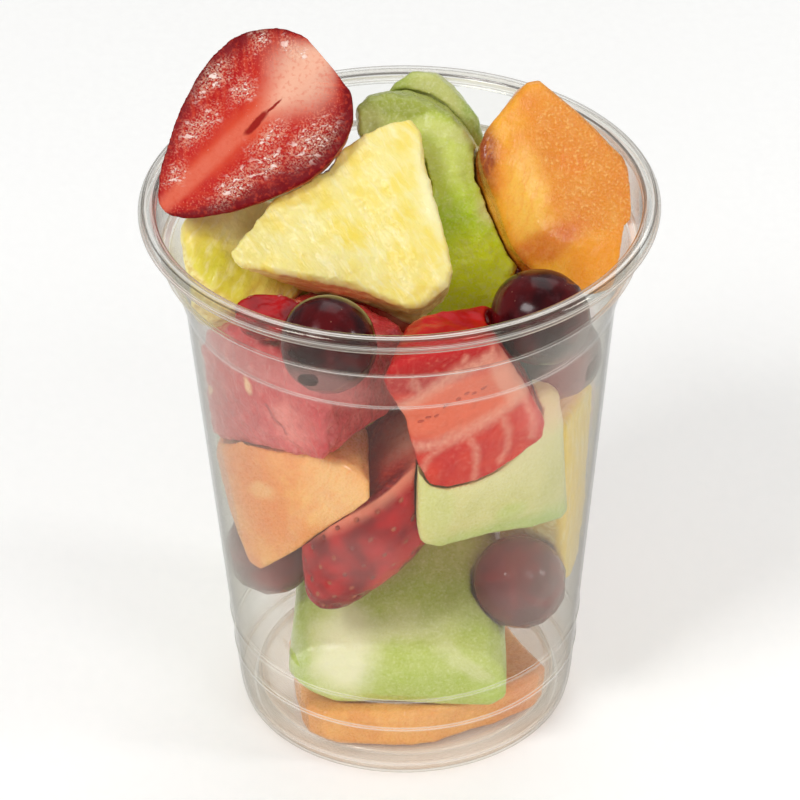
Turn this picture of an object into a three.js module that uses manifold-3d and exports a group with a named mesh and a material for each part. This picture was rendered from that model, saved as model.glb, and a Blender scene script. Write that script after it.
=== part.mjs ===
// A clear plastic cup heaped with cut fruit. Millimetres, +Z up.
// The cup stands on z = 0 and its axis is the Z axis.

import * as THREE from 'three';
import { mergeVertices } from 'three/addons/utils/BufferGeometryUtils.js';
import Module from 'manifold-3d';

const wasm = await Module();
wasm.setup();

// ---- Driving dimensions of the cup ----

const CUP_HEIGHT = 113;
const RIM_RADIUS = 49;
const CURL_RADIUS = 1.75;
const WALL = 0.5;
const CUP_FACETS = 36;
const FOOT_RADIUS = 31;
const FOOT_WIDTH = 2;
const FLOOR_TOP = 4;
const HEEL_TOP = 6;
const HEEL_RADIUS = 33.1;
const WALL_SLOPE = 0.0907;
const SHOULDER_BOTTOM = 93.2;
const SHOULDER_TOP = 102.5;
const SHOULDER_RADIUS = 44.1;
const NECK_RADIUS = 45.2;
const FINE_RINGS = [12.7, 20];
const RING_RELIEF = 0.25;

// ---- Driving dimensions of the fruit ----

const PIECE_GAP = 0.3;
const SWELL = 1.3;
const KNIFE_EDGE = 1.1;
const FACE_RING = 0.55;
const SHARP_OUTLINE = 5;
const BERRY_SIDES = 16;
const BERRY_ROWS = 10;
const GRAPE_SIDES = 12;
const GRAPE_ROWS = 8;
const FAR = 120;

const root = new THREE.Group();

// ---- Solids ----

function solidOf(geometry) {
  const bare = geometry.clone();
  bare.deleteAttribute('normal');
  bare.deleteAttribute('uv');
  const merged = mergeVertices(bare, 1e-4);
  return new wasm.Manifold(new wasm.Mesh({
    numProp: 3,
    vertProperties: new Float32Array(merged.attributes.position.array),
    triVerts: new Uint32Array(merged.index.array),
  }));
}

function geometryOf(solid) {
  const mesh = solid.getMesh();
  const geometry = new THREE.BufferGeometry();
  geometry.setAttribute('position', new THREE.BufferAttribute(mesh.vertProperties, 3));
  geometry.setIndex(new THREE.BufferAttribute(mesh.triVerts, 1));
  geometry.computeVertexNormals();
  return geometry;
}

function largestBody(solid) {
  const bodies = solid.decompose();
  return bodies.reduce((best, body) => (body.volume() > best.volume() ? body : best));
}

function addMesh(name, geometry, finish) {
  const mesh = new THREE.Mesh(geometry, new THREE.MeshStandardMaterial(finish));
  mesh.name = name;
  root.add(mesh);
}

// ---- The cup: one thin shell of revolution ----

function wallRadius(height) {
  return HEEL_RADIUS + WALL_SLOPE * (height - HEEL_TOP);
}

// Outer side of the shell from the foot up to the curled lip, as [radius, height].
function cupOutside() {
  const points = [
    [FOOT_RADIUS - FOOT_WIDTH, 0],
    [FOOT_RADIUS, 0],
    [FOOT_RADIUS + 1.3, 1.2],
    [HEEL_RADIUS - 0.3, 3.4],
    [HEEL_RADIUS, HEEL_TOP],
  ];
  for (const height of FINE_RINGS) {
    points.push([wallRadius(height - 0.8), height - 0.8]);
    points.push([wallRadius(height) + RING_RELIEF, height]);
    points.push([wallRadius(height + 0.8), height + 0.8]);
  }
  points.push([wallRadius(SHOULDER_BOTTOM - 0.7), SHOULDER_BOTTOM - 0.7]);
  points.push([wallRadius(SHOULDER_BOTTOM) + 0.3, SHOULDER_BOTTOM]);
  points.push([SHOULDER_RADIUS - 0.3, SHOULDER_TOP - 0.6]);
  points.push([NECK_RADIUS - 0.2, SHOULDER_TOP]);
  points.push([NECK_RADIUS, SHOULDER_TOP + 0.8]);
  return points;
}

// Inner side from the middle of the raised floor up to the lip.
function cupInside() {
  const groove = FOOT_RADIUS - FOOT_WIDTH;
  return [
    [0, FLOOR_TOP],
    [groove - 0.6, FLOOR_TOP],
    [groove + WALL - 0.2, FLOOR_TOP - 0.5],
    [groove + WALL, WALL],
    [FOOT_RADIUS - 0.2, WALL],
    [FOOT_RADIUS + 0.9, 1.5],
    [HEEL_RADIUS - 0.8, 3.6],
    [HEEL_RADIUS - WALL, HEEL_TOP],
    [wallRadius(SHOULDER_BOTTOM - 0.7) - WALL, SHOULDER_BOTTOM - 0.7],
    [wallRadius(SHOULDER_BOTTOM) + 0.3 - WALL, SHOULDER_BOTTOM + 0.1],
    [SHOULDER_RADIUS - 0.3 - WALL, SHOULDER_TOP - 0.4],
    [NECK_RADIUS - 0.2 - WALL, SHOULDER_TOP + 0.3],
    [NECK_RADIUS - WALL, SHOULDER_TOP + 1],
  ];
}

// The lip curls outward and down; radius is measured from the middle of the curl.
function curl(radius, steps) {
  const centre = [RIM_RADIUS - CURL_RADIUS, CUP_HEIGHT - CURL_RADIUS];
  const start = Math.PI * 1.04;
  const end = -Math.PI * 0.72;
  const points = [];
  for (let i = 0; i <= steps; i += 1) {
    const angle = start + (end - start) * (i / steps);
    points.push([centre[0] + radius * Math.cos(angle), centre[1] + radius * Math.sin(angle)]);
  }
  return points;
}

function latheOf(points, facets) {
  const outline = points.map(([radius, height]) => new THREE.Vector2(radius, height));
  if (THREE.ShapeUtils.isClockWise(outline)) {
    outline.reverse();
  }
  if (outline[0].x > 0 || outline[outline.length - 1].x > 0) {
    outline.push(outline[0].clone());
  }
  const geometry = new THREE.LatheGeometry(outline, facets);
  geometry.rotateX(Math.PI / 2);
  return geometry;
}

function cupGeometry() {
  const groove = FOOT_RADIUS - FOOT_WIDTH;
  const underside = [
    [0, FLOOR_TOP - WALL],
    [groove - 0.8, FLOOR_TOP - WALL],
    [groove - 0.3, FLOOR_TOP - 1],
  ];
  return latheOf([
    ...underside,
    ...cupOutside(),
    ...curl(CURL_RADIUS - WALL, 5),
    ...curl(CURL_RADIUS, 7).reverse(),
    ...cupInside().reverse(),
  ], CUP_FACETS);
}

// Everything the fruit has to stay out of: the shell, swollen by the gap, and what is below it.
function cupClearance() {
  const g = PIECE_GAP;
  const centre = [RIM_RADIUS - CURL_RADIUS, CUP_HEIGHT - CURL_RADIUS];
  const swollen = CURL_RADIUS + g;
  const points = [
    [0, FLOOR_TOP + g],
    [FOOT_RADIUS - 1, FLOOR_TOP + g],
    [HEEL_RADIUS - WALL - g, HEEL_TOP + 0.5],
    [wallRadius(SHOULDER_BOTTOM) - WALL - g, SHOULDER_BOTTOM],
    [SHOULDER_RADIUS - 0.5 - WALL - g, SHOULDER_TOP],
    [NECK_RADIUS - WALL - g, SHOULDER_TOP + 1],
    [centre[0] - swollen, centre[1]],
    [centre[0] - 0.7 * swollen, centre[1] + 0.7 * swollen],
    [centre[0], centre[1] + swollen],
    [centre[0] + 0.7 * swollen, centre[1] + 0.7 * swollen],
    [centre[0] + swollen, centre[1]],
    [RIM_RADIUS + 2, SHOULDER_TOP],
    [RIM_RADIUS, -5],
    [0, -5],
  ];
  return solidOf(latheOf(points, CUP_FACETS));
}

// ---- Fruit shapes, each in its own frame ----
// The cut face lies in the local XY plane and looks along +Z; the flesh is behind it.

function seededDraw(seed) {
  let state = seed * 2654435761 % 4294967296;
  return () => {
    state = (state * 1664525 + 1013904223) % 4294967296;
    return state / 4294967296;
  };
}

// A hand-cut edge isn't straight: each vertex moves on a slow wave of its own piece.
function unevenly(geometry, amount, seed) {
  const draw = seededDraw(seed);
  const phase = [draw() * 6, draw() * 6, draw() * 6];
  const position = geometry.attributes.position;
  for (let i = 0; i < position.count; i += 1) {
    const x = position.getX(i);
    const y = position.getY(i);
    const z = position.getZ(i);
    position.setXYZ(
      i,
      x + amount * Math.sin(y * 0.31 + z * 0.27 + phase[0]),
      y + amount * Math.sin(z * 0.29 + x * 0.23 + phase[1]),
      z + amount * Math.sin(x * 0.33 + y * 0.21 + phase[2]),
    );
  }
  return geometry;
}

// Each corner of an outline is cut off by a short bevel; a sharp one keeps its middle point as well.
function roundCorners(corners, radius) {
  const points = [];
  corners.forEach((corner, i) => {
    const here = new THREE.Vector2(...corner);
    const before = new THREE.Vector2(...corners[(i + corners.length - 1) % corners.length]);
    const after = new THREE.Vector2(...corners[(i + 1) % corners.length]);
    const reach = Math.min(radius, here.distanceTo(before) / 2.2, here.distanceTo(after) / 2.2);
    const entry = here.clone().add(before.sub(here).setLength(reach));
    const exit = here.clone().add(after.sub(here).setLength(reach));
    points.push(entry);
    if (corners.length <= SHARP_OUTLINE) {
      const middle = entry.clone().add(exit).multiplyScalar(0.25);
      points.push(middle.addScaledVector(here, 0.5));
    }
    points.push(exit);
  });
  return THREE.ShapeUtils.isClockWise(points) ? points.reverse() : points;
}

// A hand-cut rectangle, wider at the bottom by the slant.
function block(width, height, slant) {
  const x = width / 2;
  const y = height / 2;
  return [[-x, -y], [x, -y + slant / 3], [x - slant, y], [-x + slant / 2, y - slant / 4]];
}

// A cut chunk: the front outline is carried back through the flesh, and may shift and grow on the way.
// A crown makes the front and the back slightly domed, and a bow bends the whole chunk like a melon rind.
function chunkGeometry({
  outline, thick, round = 3, crown = 0.6, shift = [0, 0], grow = [1, 1], bow = 0, uneven = 0.35, seed = 1,
}) {
  const edge = roundCorners(outline, round);
  const inset = (point, by) => point.clone().setLength(point.length() - by);
  const positions = [];
  const addRing = (scale, depth, by) => {
    const share = depth / thick;
    const widen = [1 + (grow[0] - 1) * share, 1 + (grow[1] - 1) * share];
    for (const point of edge) {
      const moved = inset(point, by).multiplyScalar(scale);
      const bulge = depth < thick / 2 ? crown * (1 - scale * scale) : -crown * (1 - scale * scale);
      positions.push(moved.x * widen[0] + shift[0] * share);
      positions.push(moved.y * widen[1] + shift[1] * share);
      positions.push(bulge - depth);
    }
  };
  if (crown > 0) {
    addRing(FACE_RING, 0, 0);
  }
  addRing(1, 0, KNIFE_EDGE);
  addRing(1, KNIFE_EDGE, 0);
  addRing(1, thick / 2, 0);
  addRing(1, thick - KNIFE_EDGE, 0);
  addRing(1, thick, KNIFE_EDGE);
  const count = edge.length;
  const rings = positions.length / 3 / count;
  const front = rings * count;
  positions.push(0, 0, crown);
  positions.push(shift[0], shift[1], -thick - crown);
  const index = [];
  for (let i = 0; i < count; i += 1) {
    const next = (i + 1) % count;
    index.push(front, i, next);
    for (let ring = 0; ring < rings - 1; ring += 1) {
      const near = ring * count;
      const far = near + count;
      index.push(near + i, far + i, far + next);
      index.push(near + i, far + next, near + next);
    }
    const last = (rings - 1) * count;
    index.push(front + 1, last + next, last + i);
  }
  const geometry = new THREE.BufferGeometry();
  geometry.setAttribute('position', new THREE.Float32BufferAttribute(positions, 3));
  geometry.setIndex(index);
  if (bow !== 0) {
    const position = geometry.attributes.position;
    for (let i = 0; i < position.count; i += 1) {
      position.setZ(i, position.getZ(i) - bow * (position.getY(i) / 20) ** 2);
    }
  }
  return unevenly(geometry, uneven, seed);
}

// A whole strawberry: a teardrop with its tip at the low end of the local Y axis.
function berrySolid({ length, width, taper = 0.38 }) {
  const profile = [];
  for (let row = 0; row <= BERRY_ROWS; row += 1) {
    const angle = Math.PI * (row / BERRY_ROWS);
    const radius = width / 2 * Math.sin(angle) * (1 - taper * Math.cos(angle));
    profile.push(new THREE.Vector2(Math.max(radius, 0), -length / 2 * Math.cos(angle)));
  }
  profile[0].x = 0;
  profile[BERRY_ROWS].x = 0;
  return solidOf(unevenly(new THREE.LatheGeometry(profile, BERRY_SIDES), 0.3, Math.round(length)));
}

// A block that takes away everything beyond a plane, given by its outward direction and distance.
function beyond(direction, distance) {
  const block = new THREE.BoxGeometry(FAR, FAR, FAR);
  block.translate(0, 0, FAR / 2 + distance);
  block.applyQuaternion(new THREE.Quaternion().setFromUnitVectors(
    new THREE.Vector3(0, 0, 1),
    new THREE.Vector3(...direction).normalize(),
  ));
  return solidOf(block);
}

function cutBerry({ length, width, taper, cuts }) {
  let solid = berrySolid({ length, width, taper });
  for (const [direction, distance] of cuts) {
    solid = solid.subtract(beyond(direction, distance));
  }
  return solid;
}

function grapeSolid({ width, length }) {
  const grape = new THREE.SphereGeometry(1, GRAPE_SIDES, GRAPE_ROWS);
  grape.scale(width / 2, length / 2, width / 2);
  return solidOf(grape);
}

// ---- Placing: face = [turn about Z, lift], both in degrees; [0, 0] looks towards -Y ----

function placement({ at, face, roll = 0 }) {
  const turn = THREE.MathUtils.degToRad(face[0]);
  const lift = THREE.MathUtils.degToRad(face[1]);
  const right = new THREE.Vector3(Math.cos(turn), Math.sin(turn), 0);
  const out = new THREE.Vector3(
    Math.sin(turn) * Math.cos(lift),
    -Math.cos(turn) * Math.cos(lift),
    Math.sin(lift),
  );
  const up = out.clone().cross(right);
  const matrix = new THREE.Matrix4().makeBasis(right, up, out);
  matrix.multiply(new THREE.Matrix4().makeRotationZ(THREE.MathUtils.degToRad(roll)));
  matrix.setPosition(...at);
  return matrix;
}

function localSolid(shape) {
  if (shape.grape) {
    return grapeSolid(shape.grape);
  }
  if (shape.berry) {
    return cutBerry(shape.berry);
  }
  return solidOf(chunkGeometry(shape.chunk));
}

// The same piece with every vertex moved outward, so that a neighbour trimmed by it stays clear.
function swell(solid) {
  const mesh = solid.getMesh();
  const outward = geometryOf(solid).attributes.normal.array;
  const swollen = new wasm.Manifold(new wasm.Mesh({
    numProp: 3,
    vertProperties: mesh.vertProperties.map((value, i) => value + SWELL * PIECE_GAP * outward[i]),
    triVerts: mesh.triVerts,
  }));
  return swollen.add(solid);
}

// ---- Finishes ----

const FINISH = {
  plastic: { color: 0xe8eeee, roughness: 0.08, metalness: 0, transparent: true, opacity: 0.3 },
  strawberry: { color: 0xc8202a, roughness: 0.35, metalness: 0 },
  pineapple: { color: 0xeedd6e, roughness: 0.4, metalness: 0 },
  honeydew: { color: 0xb4cc58, roughness: 0.35, metalness: 0 },
  cantaloupe: { color: 0xee9838, roughness: 0.4, metalness: 0 },
  watermelon: { color: 0xd85a5a, roughness: 0.45, metalness: 0 },
  grape: { color: 0x3c0c14, roughness: 0.25, metalness: 0 },
};

// ---- The fruit, topmost and foremost first: where two pieces press together, the later one gives way ----

const FRUIT = {
  strawberry_top: {
    berry: { length: 43, width: 28.6, taper: 0.41, cuts: [[[0, 0, 1], 0], [[0.1, 1, 0], 20.3]] },
    at: [-28.6, 10, 121.3], face: [-8, 42], roll: -42, finish: 'strawberry',
  },
  pineapple_front: {
    chunk: {
      outline: [
        [-23.5, -12], [-15.5, 3.5], [0, 15.5], [7, 19.5], [11, 19.5], [14, 8.5], [21.5, -11.5],
        [13.5, -19], [0.5, -15],
      ],
      thick: 15, round: 2, shift: [4.5, -3], grow: [0.62, 0.75], seed: 2,
    },
    at: [-9, 0.5, 109.5], face: [-8, 50], finish: 'pineapple',
  },
  cantaloupe_top: {
    chunk: {
      outline: [
        [-1.8, 22], [-13, 11.3], [-14.6, 6], [-11.8, -4], [-10, -12], [-5.5, -18], [2, -21.8],
        [10.5, -21], [14.4, -9], [14.2, 1.6], [7.6, 12],
      ],
      thick: 16, round: 1.8, crown: 1.2, shift: [1, -1], grow: [0.95, 0.9], seed: 3,
    },
    at: [30, 7, 110.7], face: [15, 35], finish: 'cantaloupe',
  },
  honeydew_top: {
    chunk: {
      outline: [
        [-15.5, 16], [-14.2, 20.4], [-6.5, 20.9], [-2, 20], [4.7, 15.6], [8.4, 8], [14.2, -7.5],
        [14.8, -12], [10, -22], [-3, -25], [-10, -5],
      ],
      thick: 13, round: 2, bow: 3, shift: [1, 2], grow: [0.95, 0.95], seed: 4,
    },
    at: [8, 10, 105.5], face: [6, 32], finish: 'honeydew',
  },
  grape_front_left: {
    grape: { width: 18, length: 19.5 },
    at: [-13.6, -31.5, 101.5], face: [20, 0], roll: 25, finish: 'grape',
  },
  grape_right_upper: {
    grape: { width: 18, length: 19.5 },
    at: [25.4, -20.9, 99.6], face: [0, 20], roll: 60, finish: 'grape',
  },
  strawberry_centre: {
    chunk: {
      outline: [
        [-17, 14], [-12, 16.5], [6, 15], [8, 13], [13.5, 0.5], [18.5, -10], [15, -14],
        [5, -17], [-5, -17.5], [-8, -13], [-13, 4],
      ],
      thick: 15, round: 2, crown: 1.2, shift: [7, 0.5], grow: [0.75, 0.78], seed: 5,
    },
    at: [11, -34, 86.7], face: [23, -3], finish: 'strawberry',
  },
  grape_right: {
    grape: { width: 16.6, length: 18 },
    at: [29.8, -9.3, 83.4], face: [30, 0], roll: -50, finish: 'grape',
  },
  pineapple_left: {
    chunk: {
      outline: [
        [-9, 12.6], [-12.4, 7], [-13, 0], [-10.4, -5], [-6.5, -9.2], [-1.5, -10.6], [5, -10.9],
        [12, -4], [12, 7], [4, 12.6],
      ],
      thick: 12, round: 2, crown: 1, shift: [-3, 0], grow: [0.95, 0.95], seed: 6,
    },
    at: [-27, 6, 96.6], face: [35, 50], finish: 'pineapple',
  },
  honeydew_back: {
    chunk: {
      outline: [[-12, 2], [-6.5, 8], [-2, 9.5], [2, 7.5], [9.5, -2], [7, -18], [-10, -17]],
      thick: 12, round: 3, crown: 1, shift: [0, 0], grow: [0.95, 0.95], seed: 7,
    },
    at: [7.5, 30.5, 111.5], face: [0, 30], finish: 'honeydew',
  },
  watermelon_left: {
    chunk: {
      outline: [
        [-19, 5], [-17, -9], [-14, -17.5], [-4, -14], [10.5, -8.5], [17.5, -6.5], [17, 13],
        [-8, 12],
      ],
      thick: 26, round: 2, crown: 1.5, shift: [-2, -1], grow: [0.85, 0.85], seed: 8,
    },
    at: [-26, -22.8, 83.5], face: [-48, 0], finish: 'watermelon',
  },
  strawberry_small: {
    berry: { length: 17, width: 11, taper: 0.3, cuts: [[[0, 0, 1], 0]] },
    at: [-22.5, -22, 101.8], face: [0, 85], roll: 75, finish: 'strawberry',
  },
  cantaloupe_left: {
    chunk: {
      outline: [
        [-20, 3.5], [-17, -6.5], [-10.5, -22], [-2, -15.5], [20.5, 9], [15, 14.5], [-10, 12],
      ],
      thick: 17, round: 2.5, crown: 0.8, shift: [-11, 0], grow: [0.85, 0.9], seed: 9,
    },
    at: [-21, -25.5, 61.5], face: [-37, 0], finish: 'cantaloupe',
  },
  honeydew_mid: {
    chunk: {
      outline: [
        [-16, 8], [-17.5, -10], [-14, -14.5], [-2, -17], [7, -18], [17, -19], [17.5, -16.5],
        [15.5, 5.5], [15, 12], [-10, 14],
      ],
      thick: 17, round: 2, crown: 1.8, shift: [8, 0], grow: [0.85, 0.9], seed: 10,
    },
    at: [17, -28, 71], face: [31, 0], finish: 'honeydew',
  },
  strawberry_low: {
    berry: { length: 50, width: 26, taper: 0.3, cuts: [[[-0.91, 0.42, 0], 7]] },
    at: [-5.3, -21.8, 59], face: [8, 8], roll: -28, finish: 'strawberry',
  },
  grape_low_right: {
    grape: { width: 18.2, length: 19.4 },
    at: [22, -13.4, 33.3], face: [10, 0], roll: 30, finish: 'grape',
  },
  grape_low_left: {
    grape: { width: 17.4, length: 18.6 },
    at: [-26.2, -7.9, 38], face: [-60, 0], roll: 70, finish: 'grape',
  },
  honeydew_low: {
    chunk: {
      outline: [
        [-22, 1.5], [-21, -1.5], [-16, -5.5], [-8, -7], [15, -7], [20, -6.5], [21, -3], [20, 4],
        [15, 6.5], [-12.5, 6.8], [-19, 5],
      ],
      thick: 32, round: 2.5, crown: 1.5, shift: [0, 8.5], grow: [0.95, 2.1], seed: 11,
    },
    at: [-1.5, -26.5, 20], face: [-3, 0], finish: 'honeydew',
  },
  cantaloupe_low: {
    chunk: {
      outline: [
        [-23.8, 7.5], [-21.7, -8], [-19.3, -18], [2.5, -18.8], [15, -14], [27.6, -6], [23, 4],
        [17, 18], [-15, 18],
      ],
      thick: 8.7, round: 2.5, crown: 0.5, grow: [0.98, 0.98], seed: 12,
    },
    at: [0.5, -10, 13], face: [0, 90], finish: 'cantaloupe',
  },
  pineapple_right: {
    chunk: {
      outline: [[-9, 20], [-9, -17], [-4, -20], [8, -18], [9, 19]],
      thick: 14, round: 2, grow: [0.9, 0.95], seed: 13,
    },
    at: [33.8, -1, 47], face: [70, 0], finish: 'pineapple',
  },
  watermelon_right: {
    chunk: { outline: block(22, 24, 3), thick: 14, round: 2, crown: 0, seed: 14 },
    at: [31, 13, 78.5], face: [112, 0], finish: 'watermelon',
  },
  cantaloupe_inner: {
    chunk: { outline: block(19, 17, -2), thick: 15, round: 2, crown: 0, seed: 15 },
    at: [10, -4, 46], face: [5, -8], roll: 12, finish: 'cantaloupe',
  },
  pineapple_base: {
    chunk: { outline: block(21, 23, 2), thick: 17, round: 2, crown: 0, seed: 16 },
    at: [-10, 27.5, 17], face: [200, 4], roll: 5, finish: 'pineapple',
  },
  watermelon_base: {
    chunk: { outline: block(19, 21, -3), thick: 16, round: 2, crown: 0, seed: 17 },
    at: [10.5, 27.5, 15.5], face: [160, 0], roll: -7, finish: 'watermelon',
  },
  honeydew_rear: {
    chunk: { outline: block(27, 25, 4), thick: 19, round: 2.5, crown: 0, seed: 18 },
    at: [-19, 27.5, 42], face: [214, 0], roll: -9, finish: 'honeydew',
  },
  grape_rear: {
    grape: { width: 17.6, length: 19 },
    at: [4.5, 26.5, 36], face: [180, 0], roll: 35, finish: 'grape',
  },
  cantaloupe_rear: {
    chunk: { outline: block(25, 27, -3), thick: 18, round: 2.5, crown: 0, seed: 19 },
    at: [20, 27, 46], face: [143, 0], roll: 10, finish: 'cantaloupe',
  },
  strawberry_rear: {
    berry: { length: 38, width: 28, taper: 0.35, cuts: [[[0, 0, -1], 3], [[0, 1, 0], 15]] },
    at: [-5, 24.5, 64], face: [186, -4], roll: 38, finish: 'strawberry',
  },
  watermelon_side: {
    chunk: { outline: block(23, 25, 3), thick: 17, round: 2, crown: 0, seed: 20 },
    at: [-34, 14, 68], face: [248, 0], roll: 6, finish: 'watermelon',
  },
  pineapple_rear: {
    chunk: { outline: block(25, 23, 5), thick: 15, round: 2, crown: 0, seed: 21 },
    at: [14, 34.5, 83], face: [160, -4], roll: -12, finish: 'pineapple',
  },
  honeydew_side: {
    chunk: { outline: block(24, 22, -4), thick: 15, round: 2.5, crown: 0, seed: 22 },
    at: [-17, 35, 85], face: [206, -5], roll: 14, finish: 'honeydew',
  },
  grape_rear_high: {
    grape: { width: 17.4, length: 18.8 },
    at: [-31.5, 17, 88], face: [240, 0], roll: 20, finish: 'grape',
  },
};

function boxesMeet(one, other) {
  return [0, 1, 2].every((k) => one.min[k] < other.max[k] && other.min[k] < one.max[k]);
}

const clearance = cupClearance();
const kept = [];

function fruitSolid(piece) {
  const matrix = placement(piece);
  const placed = localSolid(piece).transform(matrix.elements);
  let solid = largestBody(placed.subtract(clearance));
  for (const neighbour of kept) {
    if (boxesMeet(solid.boundingBox(), neighbour.boundingBox())) {
      solid = largestBody(solid.subtract(neighbour));
    }
  }
  kept.push(swell(solid));
  return solid;
}

addMesh('cup', cupGeometry(), FINISH.plastic);
for (const [name, piece] of Object.entries(FRUIT)) {
  addMesh(name, geometryOf(fruitSolid(piece)), FINISH[piece.finish]);
}

export default root;
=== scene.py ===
# %% [markdown]
# # A clear cup heaped with cut fruit
# The real thing is a thin takeaway cup of clear plastic, filled above its rim with hand-cut
# strawberries, pineapple, three melons and whole grapes.
# The CAD part already gives each piece its place and its size in metres.
# This lesson dresses that part: every piece of fruit gets a softer, wetter body and its own finish.
# We could paint materials straight on the CAD solids, but their few flat faces would show in the gloss.

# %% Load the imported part
import math
from contextlib import contextmanager

import bpy
from mathutils import Matrix, Vector
from mathutils.bvhtree import BVHTree
from mathutils.kdtree import KDTree


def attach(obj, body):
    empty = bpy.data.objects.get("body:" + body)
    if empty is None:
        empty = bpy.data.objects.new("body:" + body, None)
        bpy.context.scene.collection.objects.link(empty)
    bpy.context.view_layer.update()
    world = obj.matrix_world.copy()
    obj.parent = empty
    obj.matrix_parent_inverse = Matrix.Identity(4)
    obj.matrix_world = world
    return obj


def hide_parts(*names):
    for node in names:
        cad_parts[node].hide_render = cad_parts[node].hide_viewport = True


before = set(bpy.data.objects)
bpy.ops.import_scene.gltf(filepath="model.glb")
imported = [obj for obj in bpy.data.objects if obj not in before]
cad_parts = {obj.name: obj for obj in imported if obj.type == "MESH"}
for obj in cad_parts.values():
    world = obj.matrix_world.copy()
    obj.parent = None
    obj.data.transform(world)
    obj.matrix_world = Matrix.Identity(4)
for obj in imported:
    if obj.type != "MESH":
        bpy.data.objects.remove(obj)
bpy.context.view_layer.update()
bpy.ops.object.select_all(action="DESELECT")
MM = 0.001
print("the packed part has", len(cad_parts), "pieces")

# %% [markdown]
# ## Where the pieces sit
# Each piece of fruit was placed by one point on its cut face and by the way that face looks.
# We repeat those numbers here, because grain, fibres and seeds have to follow the piece itself.
# A face of (0, 0) looks towards -Y; the first angle turns it about Z and the second lifts it.
# The last number rolls the piece in the plane of that face.

# %% The places, in millimetres and degrees
PLACES = {
    "strawberry_top": ((-28.6, 10, 121.3), (-8, 42), -42),
    "pineapple_front": ((-9, 0.5, 109.5), (-8, 50), 0),
    "cantaloupe_top": ((30, 7, 110.7), (15, 35), 0),
    "honeydew_top": ((8, 10, 105.5), (6, 32), 0),
    "grape_front_left": ((-13.6, -31.5, 101.5), (20, 0), 25),
    "grape_right_upper": ((25.4, -20.9, 99.6), (0, 20), 60),
    "strawberry_centre": ((11, -34, 86.7), (23, -3), 0),
    "grape_right": ((29.8, -9.3, 83.4), (30, 0), -50),
    "pineapple_left": ((-27, 6, 96.6), (35, 50), 0),
    "honeydew_back": ((7.5, 30.5, 111.5), (0, 30), 0),
    "watermelon_left": ((-26, -22.8, 83.5), (-48, 0), 0),
    "strawberry_small": ((-22.5, -22, 101.8), (0, 85), 75),
    "cantaloupe_left": ((-21, -25.5, 61.5), (-37, 0), 0),
    "honeydew_mid": ((17, -28, 71), (31, 0), 0),
    "strawberry_low": ((-5.3, -21.8, 59), (8, 8), -28),
    "grape_low_right": ((22, -13.4, 33.3), (10, 0), 30),
    "grape_low_left": ((-26.2, -7.9, 38), (-60, 0), 70),
    "honeydew_low": ((-1.5, -26.5, 20), (-3, 0), 0),
    "cantaloupe_low": ((0.5, -10, 13), (0, 90), 0),
    "pineapple_right": ((33.8, -1, 47), (70, 0), 0),
    "watermelon_right": ((31, 13, 78.5), (112, 0), 0),
    "cantaloupe_inner": ((10, -4, 46), (5, -8), 12),
    "pineapple_base": ((-10, 27.5, 17), (200, 4), 5),
    "watermelon_base": ((10.5, 27.5, 15.5), (160, 0), -7),
    "honeydew_rear": ((-19, 27.5, 42), (214, 0), -9),
    "grape_rear": ((4.5, 26.5, 36), (180, 0), 35),
    "cantaloupe_rear": ((20, 27, 46), (143, 0), 10),
    "strawberry_rear": ((-5, 24.5, 64), (186, -4), 38),
    "watermelon_side": ((-34, 14, 68), (248, 0), 6),
    "pineapple_rear": ((14, 34.5, 83), (160, -4), -12),
    "honeydew_side": ((-17, 35, 85), (206, -5), 14),
    "grape_rear_high": ((-31.5, 17, 88), (240, 0), 20),
}


def turn_of(name):
    """The turn from a piece's own axes (right, up, out of the face) to the part's axes."""
    _, face, roll = PLACES[name]
    side, lift = (math.radians(angle) for angle in face)
    right = Vector((math.cos(side), math.sin(side), 0))
    out = Vector((math.sin(side) * math.cos(lift), -math.cos(side) * math.cos(lift), math.sin(lift)))
    up = out.cross(right)
    return Matrix((right, up, out)).transposed() @ Matrix.Rotation(math.radians(roll), 3, "Z")


def place_of(name):
    """The whole placement of a piece, in metres."""
    return Matrix.Translation(Vector(PLACES[name][0]) * MM) @ turn_of(name).to_4x4()


print("placed by hand:", len(PLACES), "pieces of fruit")

# %% [markdown]
# ## Tools for shaping
# Every body is made with the operators that a person would use: add, extrude, spin, bisect and
# modifiers that are applied one after the other.
# A handful of small helpers keeps each later cell short.


# %% Choose one piece, apply one modifier
def only(piece):
    """Makes this piece the only selected one, and the active one."""
    bpy.ops.object.select_all(action="DESELECT")
    piece.select_set(True)
    bpy.context.view_layer.objects.active = piece


def finish_modifier(piece, kind, **settings):
    """Adds a modifier with these settings and applies it at once."""
    only(piece)
    modifier = piece.modifiers.new(kind.title(), kind)
    for setting, value in settings.items():
        setattr(modifier, setting, value)
    bpy.ops.object.modifier_apply(modifier=modifier.name)


@contextmanager
def editing(piece):
    """Edit mode on this piece, with all of it selected at the start, and object mode at the end."""
    only(piece)
    bpy.ops.object.mode_set(mode="EDIT")
    bpy.ops.mesh.select_all(action="SELECT")
    yield
    bpy.ops.object.mode_set(mode="OBJECT")


def copy_of_solid(node, name):
    """A merged copy of a CAD solid, to shape further. The solid itself stays as it is."""
    piece = bpy.data.objects.new(name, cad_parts[node].data.copy())
    bpy.context.scene.collection.objects.link(piece)
    piece.data.materials.clear()
    with editing(piece):
        bpy.ops.mesh.remove_doubles(threshold=0.01 * MM)
    bpy.ops.mesh.customdata_custom_splitnormals_clear()
    return piece


def twin(master, name):
    """A copy of a finished shape, with a mesh of its own."""
    piece = master.copy()
    piece.data = master.data.copy()
    piece.name = name
    bpy.context.scene.collection.objects.link(piece)
    return piece


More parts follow.
